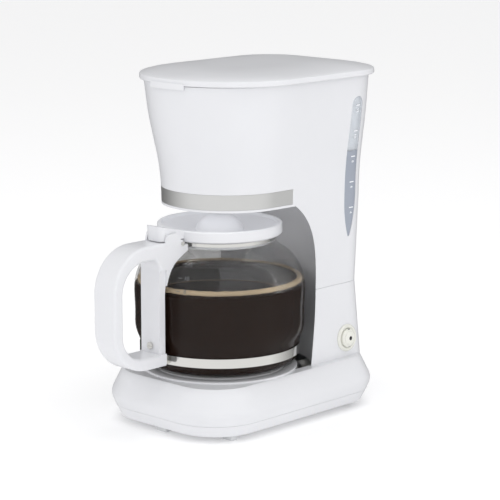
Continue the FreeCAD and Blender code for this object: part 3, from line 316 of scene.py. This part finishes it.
SILICONE = Finish("silicone_hose", (0.70, 0.70, 0.67), roughness=0.55, bump=0.1, grain=600.0)
BLACK_RUBBER = Finish("black_rubber", (0.02, 0.02, 0.02), roughness=0.8, bump=0.35, grain=900.0)
NET = Finish("filter_net", (0.42, 0.36, 0.24), roughness=0.6, bump=0.8, grain=2200.0)
GLASS = Finish("jug_glass", (0.97, 0.985, 0.98), roughness=0.015, roughness_drift=0.012,
               tone_drift=0.01, bump=0.006, grain=60.0, wear=0.0, transmission=1.0, ior=1.47,
               alpha=0.32)
COFFEE = Finish("black_coffee", (0.014, 0.0065, 0.0040), roughness=0.05, roughness_drift=0.02,
                tone_drift=0.25, bump=0.01, grain=40.0, wear=0.0, ior=1.15)
FOAM = Finish("coffee_foam", (0.52, 0.40, 0.26), roughness=0.7, tone_drift=0.45, bump=1.0,
              grain=1100.0, wear=0.3)
GAUGE_DRY = Finish("gauge_clear", (0.52, 0.53, 0.555), roughness=0.22, bump=0.03, coat=0.4)
GAUGE_WET = Finish("gauge_water", (0.335, 0.365, 0.43), roughness=0.18, bump=0.03, coat=0.4)
GREY_MARK = Finish("grey_print", (0.16, 0.165, 0.17), roughness=0.55, wear=0.0)
WHITE_MARK = Finish("white_print", (0.90, 0.91, 0.94), roughness=0.5, wear=0.0)

SLOT_FINISH: dict[str, Finish] = {
    "shell_white": WHITE_SHELL, "button_ivory": IVORY, "inner_grey": INNER_GREY,
    "tank_smoke": TANK, "black_plastic": BLACK, "lens_dark": LENS, "brushed_trim": BRUSHED,
    "bright_steel": POLISHED, "plain_steel": STEEL, "aluminium": ALUMINIUM, "plate_coat": PLATE,
    "rubber_white": WHITE_RUBBER, "silicone": SILICONE, "rubber_black": BLACK_RUBBER,
    "filter_net": NET, "clear_glass": GLASS, "gauge_clear": GAUGE_DRY, "coffee": COFFEE,
    "coffee_foam": FOAM, "water": GAUGE_WET, "marks_grey": GREY_MARK, "marks_white": WHITE_MARK}


# ------------------------------------------------------------------ modelling helpers
def clear_selection() -> None:
    """Leave edit mode and deselect everything."""
    if bpy.context.object and bpy.context.object.mode != "OBJECT":
        bpy.ops.object.mode_set(mode="OBJECT")
    bpy.ops.object.select_all(action="DESELECT")


def take(piece: bpy.types.Object) -> None:
    """Make a piece the only selected and the active object."""
    clear_selection()
    piece.hide_set(False)
    piece.select_set(True)
    bpy.context.view_layer.objects.active = piece


def edit_all(piece: bpy.types.Object) -> None:
    """Open a piece in edit mode with its whole mesh selected."""
    take(piece)
    bpy.ops.object.mode_set(mode="EDIT")
    bpy.ops.mesh.select_all(action="SELECT")


def settle(piece: bpy.types.Object, name: str, smooth_deg: float = 35.0) -> bpy.types.Object:
    """Finish a piece: close doubles, turn faces out, put its place in its mesh, shade it.

    Args:
        piece: the object to finish.
        name: its name.
        smooth_deg: edges flatter than this are shaded smooth.

    Returns:
        The same object.
    """
    edit_all(piece)
    bpy.ops.mesh.remove_doubles(threshold=0.000002)
    bpy.ops.mesh.normals_make_consistent(inside=False)
    bpy.ops.object.mode_set(mode="OBJECT")
    bpy.ops.object.transform_apply(location=True, rotation=True, scale=True)
    bpy.ops.object.shade_smooth_by_angle(angle=math.radians(smooth_deg))
    piece.name = name
    piece.data.name = name
    return piece


def turned(name: str, centre: Vector, profile: Profile, segments: int = 128) -> bpy.types.Object:
    """Turn a piece: a disc drawn up ring by ring along a profile.

    Args:
        name: the piece's name.
        centre: a point on its upright axis.
        profile: (radius, height) of each ring, from the bottom face to the last face.
        segments: points round each ring.

    Returns:
        The finished object.
    """
    clear_selection()
    radius, height = profile[0]
    bpy.ops.mesh.primitive_circle_add(vertices=segments, radius=radius, fill_type="NGON",
                                      location=(centre.x, centre.y, height))
    piece = bpy.context.object
    edit_all(piece)
    for next_radius, next_height in profile[1:]:
        bpy.ops.mesh.extrude_region_move(
            TRANSFORM_OT_translate={"value": (0, 0, next_height - height)})
        share = next_radius / radius
        bpy.ops.transform.resize(value=(share, share, 1),
                                 center_override=(centre.x, centre.y, next_height))
        radius, height = next_radius, next_height
    return settle(piece, name)


def smooth_shell(node: str, name: str, smooth_deg: float = 30.0) -> bpy.types.Object:
    """Make a display skin of a CAD node: its triangles joined up and shaded smooth.

    Args:
        node: the CAD node to copy.
        name: the new piece's name.
        smooth_deg: edges flatter than this are shaded smooth.

    Returns:
        The new piece, not yet dressed.
    """
    source = frame["nodes"][node]
    skin = bpy.data.objects.new(name, source.data.copy())
    bpy.context.scene.collection.objects.link(skin)
    skin.matrix_world = source.matrix_world.copy()
    skin.data.materials.clear()
    edit_all(skin)
    bpy.ops.mesh.customdata_custom_splitnormals_clear()
    bpy.ops.mesh.remove_doubles(threshold=0.000002)
    bpy.ops.mesh.tris_convert_to_quads(face_threshold=math.radians(2.0),
                                       shape_threshold=math.radians(40.0))
    bpy.ops.object.mode_set(mode="OBJECT")
    bpy.ops.object.transform_apply(location=True, rotation=True, scale=True)
    bpy.ops.object.shade_smooth_by_angle(angle=math.radians(smooth_deg))
    skin.data.name = name
    return skin


def dress(piece: bpy.types.Object, body: str, slot: str, *nodes: str) -> bpy.types.Object:
    """Give a piece its finish and tie it to the frame.

    Args:
        piece: the finished mesh object.
        body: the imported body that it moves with.
        slot: the record's material slot that it is finished in.
        nodes: CAD nodes that it stands for.

    Returns:
        The same object.
    """
    piece.data.materials.clear()
    piece.data.materials.append(SLOT_FINISH[slot].material())
    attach(piece, body)
    if nodes:
        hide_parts(*nodes)
    LOG.info("piece %s on %s, finish %s, %d faces", piece.name, body, slot,
             len(piece.data.polygons))
    return piece


def dress_node(node: str) -> None:
    """Give a CAD node the finish of its own slot, and leave its mesh as it is."""
    shown = frame["nodes"][node]
    made = SLOT_FINISH[slot_of_node(node)].material()
    if shown.material_slots:
        for place in shown.material_slots:
            place.material = made
    else:
        shown.data.materials.append(made)
    LOG.info("node %s, finish %s", node, made.name)


def print_on(name: str, text: str, height: float, spot: Vector, normal: Vector, up: Vector,
             thick: float) -> bpy.types.Object:
    """Raised print: text laid flat on a surface.

    Args:
        name: the piece's name.
        text: the characters.
        height: letter size.
        spot: where the text's middle lies on the surface.
        normal: the surface's outward direction there.
        up: which way the letters stand.
        thick: thickness of the print.

    Returns:
        The finished mesh object.
    """
    clear_selection()
    bpy.ops.object.text_add(location=(0, 0, 0))
    letters = bpy.context.object
    letters.data.body = text
    letters.data.size = height
    letters.data.extrude = thick / 2
    letters.data.align_x = "CENTER"
    letters.data.align_y = "CENTER"
    bpy.ops.object.convert(target="MESH")
    letters = bpy.context.object
    letters.matrix_world = laid_on(spot, normal, up, thick)
    return settle(letters, name, 20.0)


def laid_on(spot: Vector, normal: Vector, up: Vector, thick: float) -> Matrix:
    """The placing of a flat thing on a surface, with its own Z outward and its own Y up."""
    z = normal.normalized()
    y = (up - z * up.dot(z)).normalized()
    x = y.cross(z)
    turn = Matrix((x, y, z)).transposed().to_4x4()
    return Matrix.Translation(spot + z * thick * 0.5) @ turn


def dash_on(name: str, length: float, width: float, spot: Vector, normal: Vector, up: Vector,
            thick: float) -> bpy.types.Object:
    """A printed dash with eased corners, laid flat on a surface.

    Args:
        name: the piece's name.
        length: its size across the up direction.
        width: its size along the up direction.
        spot: where its middle lies on the surface.
        normal: the surface's outward direction there.
        up: the direction that it is square to.
        thick: thickness of the print.

    Returns:
        The finished mesh object.
    """
    clear_selection()
    bpy.ops.mesh.primitive_cube_add(size=1.0)
    dash = bpy.context.object
    edit_all(dash)
    bpy.ops.transform.resize(value=(length, width, thick))
    bpy.ops.mesh.bevel(offset=min(width, thick) * 0.3, segments=2, affect="EDGES")
    bpy.ops.object.mode_set(mode="OBJECT")
    dash.matrix_world = laid_on(spot, normal, up, thick)
    return settle(dash, name, 40.0)


# ------------------------------------------------------------------ the machine's shells
@dataclass
class Housing:
    """The white shells, their feet and the steel strip round the head."""

    body: str = "machine"
    smooth_deg: float = 28.0
    shells: tuple[str, ...] = ("upper_housing", "lower_housing", "base_cover", "plate_ring",
                               "head_trim_band", "warming_plate")
    plain: tuple[str, ...] = ("base_screws", "foot_front_left", "foot_front_centre",
                              "foot_front_right", "foot_rear_left", "foot_rear_right",
                              "cord_gland", "lid_hinge_pin")

    def build(self) -> list[bpy.types.Object]:
        """Make a smooth skin for each shell."""
        return [smooth_shell(node, node + "_skin", self.smooth_deg) for node in self.shells]

    def dress(self, skins: list[bpy.types.Object]) -> None:
        """Finish the skins and the small pieces.

        Args:
            skins: the objects that build made, in the order of shells.
        """
        for skin, node in zip(skins, self.shells):
            dress(skin, self.body, slot_of_node(node), node)
        for node in self.plain:
            dress_node(node)


@dataclass
class TopLid:
    """The crowned lid over the tank and the filter."""

    body: str = "lid"
    smooth_deg: float = 32.0

    def build(self) -> bpy.types.Object:
        """Make the lid's smooth skin."""
        return smooth_shell("lid", "lid_skin", self.smooth_deg)

    def dress(self, skin: bpy.types.Object) -> None:
        """Finish the lid in the housing's white."""
        dress(skin, self.body, slot_of_node("lid"), "lid")


@dataclass
class WaterGauge:
    """The gauge strip, its water level, its dashes and numerals."""

    body: str = "machine"
    water_level: float = 232 * MM
    first_mark: float = 180.7 * MM
    last_mark: float = 272.6 * MM
    numerals: tuple[str, ...] = ("4", "6", "8", "10", "12")
    dash_length: float = 5.2 * MM
    dash_width: float = 0.95 * MM
    numeral_height: float = 4.2 * MM
    numeral_drop: float = 4.6 * MM
    mark_offset: float = 0.8 * MM
    print_thick: float = 0.12 * MM
    top_reach: float = 15 * MM
    low_reach: float = 20 * MM
    tree: BVHTree = field(default_factory=lambda: surface_tree("gauge_window"))

    def _side(self, name: str, keep_below: bool) -> bpy.types.Object:
        """Cut the window at the water level and keep one side, with the cut closed."""
        part = smooth_shell("gauge_window", name)
        edit_all(part)
        bpy.ops.mesh.bisect(plane_co=(0, 0, self.water_level), plane_no=(0, 0, 1),
                            use_fill=True, clear_outer=keep_below, clear_inner=not keep_below)
        bpy.ops.object.mode_set(mode="OBJECT")
        return part

    def _middle(self, z: float) -> float:
        """The strip's middle at a height, on a line through its two ends' middles."""
        mesh = frame["nodes"]["gauge_window"].data
        low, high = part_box("gauge_window")
        share = (z - low.z) / (high.z - low.z)
        tops = [v.co.y for v in mesh.vertices if v.co.z > high.z - self.top_reach]
        front = [v.co.y for v in mesh.vertices if v.co.z < low.z + self.low_reach]
        width = max(tops) - min(tops)
        top_middle = (max(tops) + min(tops)) / 2
        low_middle = min(front) + width / 2
        return low_middle + (top_middle - low_middle) * share

    def _spot(self, y: float, z: float) -> tuple[Vector, Vector]:
        """The point and outward direction of the window's face at a given Y and Z."""
        start = Vector((0.2, y, z))
        hit, normal, _, _ = self.tree.ray_cast(start, Vector((-1, 0, 0)))
        return hit, normal if normal.x > 0 else -normal

    def build(self) -> dict[str, bpy.types.Object]:
        """Make the two parts of the window and the print on it.

        Returns:
            Slot name to the joined-up pieces of that slot.
        """
        made = {"gauge_clear": self._side("gauge_dry", False),
                "water": self._side("gauge_wet", True)}
        step = (self.last_mark - self.first_mark) / (len(self.numerals) - 1)
        prints = []
        for n, numeral in enumerate(self.numerals):
            z = self.first_mark + n * step
            y = self._middle(z) + self.mark_offset
            spot, normal = self._spot(y, z)
            prints.append(dash_on(f"gauge_dash_{numeral}", self.dash_length, self.dash_width,
                                  spot, normal, Vector((0, 0, 1)), self.print_thick))
            spot, normal = self._spot(y, z - self.numeral_drop)
            prints.append(print_on(f"gauge_numeral_{numeral}", numeral, self.numeral_height,
                                   spot, normal, Vector((0, 1, 0)), self.print_thick))
        take(prints[0])
        for piece in prints[1:]:
            piece.select_set(True)
        bpy.ops.object.join()
        prints[0].name = "gauge_print"
        made["marks_white"] = prints[0]
        return made

    def dress(self, made: dict[str, bpy.types.Object]) -> None:
        """Finish the window, the water and the print."""
        for slot, piece in made.items():
            nodes = () if slot == "marks_white" else ("gauge_window",)
            dress(piece, self.body, slot, *nodes)


@dataclass
class PowerSwitch:
    """Bezel, button, lens and the two index marks on the button's rim."""

    mark_radius: float = 7.9 * MM
    mark_length: float = 2.6 * MM
    mark_width: float = 0.8 * MM
    print_thick: float = 0.12 * MM
    ray_reach: float = 20 * MM
    smooth_angle: float = 40.0

    def build(self) -> dict[str, bpy.types.Object]:
        """Make smooth skins for the switch and dashes at the top and bottom of its rim."""
        made = {node: smooth_shell(node, node + "_skin", self.smooth_angle)
                for node in ("switch_bezel", "power_button", "indicator_lens")}
        low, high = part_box("indicator_lens")
        centre = (low + high) / 2
        axis = next(j for j in frame["record"]["behaviour"]["joints"] if j["name"] == "power_press")
        outward = -Vector(axis["axis"]).normalized()
        rise = Vector((0, 0, 1))
        rise = (rise - outward * rise.dot(outward)).normalized()
        tree = surface_tree("power_button")
        dashes = []
        for side in (-1, 1):
            start = centre + rise * side * self.mark_radius + outward * self.ray_reach
            spot, normal, _, _ = tree.ray_cast(start, -outward)
            normal = normal if normal.dot(outward) > 0 else -normal
            dashes.append(dash_on(f"switch_mark_{side}", self.mark_length, self.mark_width, spot,
                                  normal, rise, self.print_thick))
        take(dashes[0])
        dashes[1].select_set(True)
        bpy.ops.object.join()
        dashes[0].name = "switch_marks"
        made["switch_marks"] = dashes[0]
        return made

    def dress(self, made: dict[str, bpy.types.Object]) -> None:
        """Finish the switch's pieces."""
        marks = made.pop("switch_marks")
        for node, skin in made.items():
            dress(skin, body_of_node(node), slot_of_node(node), node)
        dress(marks, "power_button", "marks_grey")


@dataclass
class Workings:
    """Everything behind the shells: brewing, water path, heater and wiring blocks."""

    skip: tuple[str, ...] = ()

    def dress(self) -> None:
        """Finish every CAD node that is still shown and isn't dressed by another class."""
        for node, shown in frame["nodes"].items():
            if not shown.hide_render and node not in self.skip:
                dress_node(node)


# ------------------------------------------------------------------ the jug
@dataclass
class Jug:
    """The glass jug with its fittings, its coffee and the marks on its side."""

    body: str = "carafe"
    coffee_level: float = 125.5 * MM
    liquid_gap: float = -1.6 * MM
    foam_radius: float = 2.5 * MM
    foam_rise: float = 0.7 * MM
    foam_depth: float = 3.4 * MM
    mark_heights: tuple[float, ...] = (147.5 * MM, 137 * MM, 126.5 * MM)
    mark_numerals: tuple[str, ...] = ("12", "10", "8")
    mark_bearing: float = 19.0
    dash_turn: float = 3.2
    numeral_turn: float = 2.0
    mark_size: float = 5.0 * MM
    print_thick: float = 0.1 * MM
    skins: tuple[str, ...] = ("carafe_band", "carafe_collar", "carafe_handle", "carafe_lid",
                              "carafe_lid_pin", "handle_screw", "collar_screw")
    axis: Vector = field(default_factory=jug_axis)
    tree: BVHTree = field(default_factory=lambda: surface_tree("carafe_glass"))

    def _radius(self, z: float, outer: bool) -> float:
        """Radius of the glass's outer or inner face at a height."""
        way = Vector((1, 0, 0))
        if outer:
            start = Vector((self.axis.x, self.axis.y, z)) + way * 0.2
            hit = self.tree.ray_cast(start, -way)[0]
        else:
            hit = self.tree.ray_cast(Vector((self.axis.x, self.axis.y, z)), way)[0]
        return abs(hit.x - self.axis.x)

    def _heights(self, low: float, high: float, near_low: int = 5, rest: int = 22) -> list[float]:
        """Ring heights: close together by the bottom corner, then even steps."""
        corner = [low + (0.4 + 1.1 * n) * MM for n in range(near_low)]
        start = corner[-1]
        return corner + [start + (high - start) * (n + 1) / rest for n in range(rest)]

    def glass(self) -> bpy.types.Object:
        """Turn the glass as one closed wall: up the outside, over the lip, down the inside."""
        low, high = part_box("carafe_glass")
        floor = low.z + 2.0 * MM
        outside = [(self._radius(z, True), z) for z in self._heights(low.z, high.z - 0.6 * MM)]
        inside = [(self._radius(z, False), z) for z in self._heights(floor, high.z - 0.6 * MM)]
        lip = [(outside[-1][0] - 0.5 * MM, high.z), (inside[-1][0] + 0.5 * MM, high.z)]
        first = (outside[0][0] - 0.8 * MM, low.z)
        last = (inside[0][0] - 0.8 * MM, floor)
        return turned("jug_glass", self.axis, [first] + outside + lip + inside[::-1] + [last])

    def coffee(self) -> bpy.types.Object:
        """Fill the inside up to the coffee's level."""
        low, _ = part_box("carafe_glass")
        floor = low.z + 1.8 * MM
        rings = [(self._radius(z + 0.3 * MM, False) - self.liquid_gap, z)
                 for z in self._heights(floor, self.coffee_level, rest=14)]
        wall = rings[-1][0] + self.liquid_gap
        rings = [ring for ring in rings if ring[1] < self.coffee_level - self.foam_depth]
        rings += [(wall, self.coffee_level - self.foam_depth),
                  (wall - self.foam_radius, self.coffee_level)]
        return turned("coffee", self.axis, [(rings[0][0] - 1.0 * MM, floor)] + rings)

    def foam(self) -> bpy.types.Object:
        """An uneven ring of froth where the coffee meets the glass."""
        clear_selection()
        wall = self._radius(self.coffee_level, False)
        major = wall - self.foam_radius
        bpy.ops.mesh.primitive_torus_add(
            location=(self.axis.x, self.axis.y, self.coffee_level - self.foam_rise),
            major_radius=major, minor_radius=self.foam_radius, major_segments=360,
            minor_segments=10)
        ring = bpy.context.object
        bumps = bpy.data.textures.new("froth", "CLOUDS")
        bumps.noise_scale = 0.0022
        rough = ring.modifiers.new("froth", "DISPLACE")
        rough.texture = bumps
        rough.texture_coords = "LOCAL"
        rough.strength = 0.0014
        rough.mid_level = 0.62
        bpy.ops.object.modifier_apply(modifier=rough.name)
        return settle(ring, "foam", 60.0)

    def marks(self) -> bpy.types.Object:
        """Cup marks printed on the glass beside the handle."""
        prints = []
        for z, numeral in zip(self.mark_heights, self.mark_numerals):
            for part, turn in (("dash", self.mark_bearing - self.dash_turn),
                               ("numeral", self.mark_bearing + self.numeral_turn)):
                bearing = math.radians(turn)
                way = Vector((math.sin(bearing), -math.cos(bearing), 0))
                start = Vector((self.axis.x, self.axis.y, z)) + way * 0.2
                spot, normal, _, _ = self.tree.ray_cast(start, -way)
                normal = normal if normal.dot(way) > 0 else -normal
                up = Vector((0, 0, 1))
                if part == "dash":
                    made = dash_on(f"cup_dash_{numeral}", 4.0 * MM, 0.5 * MM, spot, normal, up,
                                   self.print_thick)
                else:
                    made = print_on(f"cup_numeral_{numeral}", numeral, self.mark_size, spot,
                                    normal, up, self.print_thick)
                prints.append(made)
        take(prints[0])
        for piece in prints[1:]:
            piece.select_set(True)
        bpy.ops.object.join()
        prints[0].name = "cup_marks"
        return prints[0]

    def build(self) -> dict[str, bpy.types.Object]:
        """Model the glass, the coffee, the foam, the marks and the fittings' skins."""
        made = {"glass": self.glass(), "coffee": self.coffee(), "foam": self.foam(),
                "marks": self.marks()}
        for node in self.skins:
            made[node] = smooth_shell(node, node + "_skin", 32.0)
        return made

    def dress(self, made: dict[str, bpy.types.Object]) -> None:
        """Finish the jug's pieces and tie them to the carafe."""
        dress(made["glass"], self.body, slot_of_node("carafe_glass"), "carafe_glass")
        dress(made["coffee"], self.body, "coffee")
        dress(made["foam"], self.body, "coffee_foam")
        dress(made["marks"], self.body, "marks_grey")
        for node in self.skins:
            dress(made[node], self.body, slot_of_node(node), node)


# ------------------------------------------------------------------ studio
@dataclass
class Lamp:
    """One soft rectangular lamp aimed at the machine."""

    name: str
    place: tuple[float, float, float]
    width: float
    height: float
    watts: float
    def build(self, aim: Vector) -> None:
        """Add the lamp; it isn't seen itself, not even in shiny surfaces.

        Args:
            aim: the point that it faces.
        """
        data = bpy.data.lights.new(self.name, "AREA")
        data.shape = "RECTANGLE"
        data.size, data.size_y, data.energy = self.width, self.height, self.watts
        lamp = bpy.data.objects.new(self.name, data)
        lamp.visible_camera = lamp.visible_glossy = lamp.visible_transmission = False
        lamp.location = self.place
        lamp.rotation_euler = (aim - Vector(self.place)).to_track_quat("-Z", "Y").to_euler()
        bpy.context.scene.collection.objects.link(lamp)


@dataclass
class Studio:
    """Pale floor, soft lamps and the camera."""

    floor_half: float = 12.0
    floor_colour: Colour = (0.93, 0.93, 0.935)
    sky: float = 0.82
    mirrored_front: float = 1.0
    mirrored_back: float = 0.08
    bright_side: tuple[float, float, float] = (0.71, -0.71, 0.0)
    floor_glow: float = 0.15
    camera_place: tuple[float, float, float] = (1.2280, -1.2497, 0.5048)
    heading: float = 44.6
    pan: float = 0.87
    pitch: float = 11.51
    lens: float = 147.2
    lamps: tuple[Lamp, ...] = (
        Lamp("key", (0.3, -2.0, 0.7), 0.9, 1.3, 0.3),
        Lamp("fill", (1.4, -1.5, 0.6), 0.9, 0.9, 3.9),
        Lamp("left", (-1.6, -1.3, 0.5), 0.9, 1.0, 3.6),
        Lamp("side", (1.9, 0.4, 0.8), 0.5, 1.3, 3.2),
        Lamp("top", (0.3, -0.2, 2.0), 1.2, 1.2, 6.8),
        Lamp("under_head", (0.0, -0.004, 0.1893), 0.11, 0.11, 0.016))

    def _mirrored(self, tree: bpy.types.NodeTree, direction: bpy.types.NodeSocket):
        """How bright the room looks in shiny surfaces: dim behind, bright by the camera.

        Args:
            tree: the node tree to work in.
            direction: socket with the direction from the machine.

        Returns:
            The socket with the brightness.
        """
        level_way = tree.nodes.new("ShaderNodeVectorMath")
        level_way.operation = "NORMALIZE"
        facing = tree.nodes.new("ShaderNodeVectorMath")
        facing.operation = "DOT_PRODUCT"
        facing.inputs[1].default_value = self.bright_side
        bright = tree.nodes.new("ShaderNodeMapRange")
        bright.inputs["From Min"].default_value = -0.75
        bright.inputs["From Max"].default_value = 0.40
        bright.inputs["To Min"].default_value = self.mirrored_back
        bright.inputs["To Max"].default_value = self.mirrored_front
        tree.links.new(direction, level_way.inputs[0])
        tree.links.new(level_way.outputs[0], facing.inputs[0])
        tree.links.new(facing.outputs["Value"], bright.inputs["Value"])
        return bright.outputs[0]

    def floor(self) -> None:
        """A broad pale floor with a matt finish."""
        clear_selection()
        bpy.ops.mesh.primitive_plane_add(size=2 * self.floor_half, location=(0, 0, 0))
        ground = bpy.context.object
        ground.name = "floor"
        paper = Finish("studio_paper", self.floor_colour, roughness=0.9, roughness_drift=0.03,
                       tone_drift=0.004, bump=0.02, wear=0.0)
        cover = paper.material()
        tree = cover.node_tree
        shader = tree.nodes["Principled BSDF"]
        shader.inputs["Emission Color"].default_value = (1.0, 1.0, 1.0, 1.0)
        shader.inputs["Emission Strength"].default_value = self.floor_glow
        dim = tree.nodes.new("ShaderNodeEmission")
        dim.inputs["Color"].default_value = (1.0, 1.0, 1.0, 1.0)
        where = tree.nodes.new("ShaderNodeTexCoord")
        tree.links.new(self._mirrored(tree, where.outputs["Object"]), dim.inputs["Strength"])
        rays = tree.nodes.new("ShaderNodeLightPath")
        choose = tree.nodes.new("ShaderNodeMixShader")
        tree.links.new(rays.outputs["Is Glossy Ray"], choose.inputs[0])
        tree.links.new(shader.outputs[0], choose.inputs[1])
        tree.links.new(dim.outputs[0], choose.inputs[2])
        tree.links.new(choose.outputs[0], tree.nodes["Material Output"].inputs["Surface"])
        ground.data.materials.append(cover)

    def light(self) -> None:
        """Even pale surroundings and the lamps."""
        world = bpy.data.worlds.new("surroundings")
        world.use_nodes = True
        tree = world.node_tree
        back = tree.nodes["Background"]
        back.inputs["Color"].default_value = (1.0, 1.0, 1.0, 1.0)
        where = tree.nodes.new("ShaderNodeTexCoord")
        rays = tree.nodes.new("ShaderNodeLightPath")
        level = tree.nodes.new("ShaderNodeMix")
        level.inputs["A"].default_value = self.sky
        tree.links.new(rays.outputs["Is Glossy Ray"], level.inputs["Factor"])
        tree.links.new(self._mirrored(tree, where.outputs["Generated"]), level.inputs["B"])
        tree.links.new(level.outputs["Result"], back.inputs["Strength"])
        bpy.context.scene.world = world
        aim = jug_axis() + Vector((0, 0, 0.16))
        for lamp in self.lamps:
            lamp.build(aim)

    def camera(self) -> None:
        """The camera: front right, a little above the lid, with a long lens."""
        data = bpy.data.cameras.new("camera")
        data.lens, data.sensor_width = self.lens, 36.0
        data.clip_start, data.clip_end = 0.05, 60.0
        view = bpy.data.objects.new("camera", data)
        view.location = self.camera_place
        turn, tilt = math.radians(self.heading - self.pan), math.radians(self.pitch)
        ahead = Vector((-math.sin(turn) * math.cos(tilt), math.cos(turn) * math.cos(tilt),
                        -math.sin(tilt)))
        view.rotation_euler = ahead.to_track_quat("-Z", "Y").to_euler()
        bpy.context.scene.collection.objects.link(view)
        bpy.context.scene.camera = view

    def build(self) -> None:
        """Set up the floor, the light, the camera and plain colour handling."""
        self.floor()
        self.light()
        self.camera()
        bpy.context.scene.view_settings.view_transform = "Standard"


def main() -> None:
    """Build and dress each sub-assembly, then set up the studio."""
    logging.basicConfig(level=logging.INFO, format="%(name)s: %(message)s")
    clear_selection()
    for assembly in (Housing(), TopLid(), WaterGauge(), PowerSwitch(), Jug()):
        assembly.dress(assembly.build())
        LOG.info("%s done", type(assembly).__name__)
    Workings().dress()
    Studio().build()


if __name__ == "__main__":
    main()
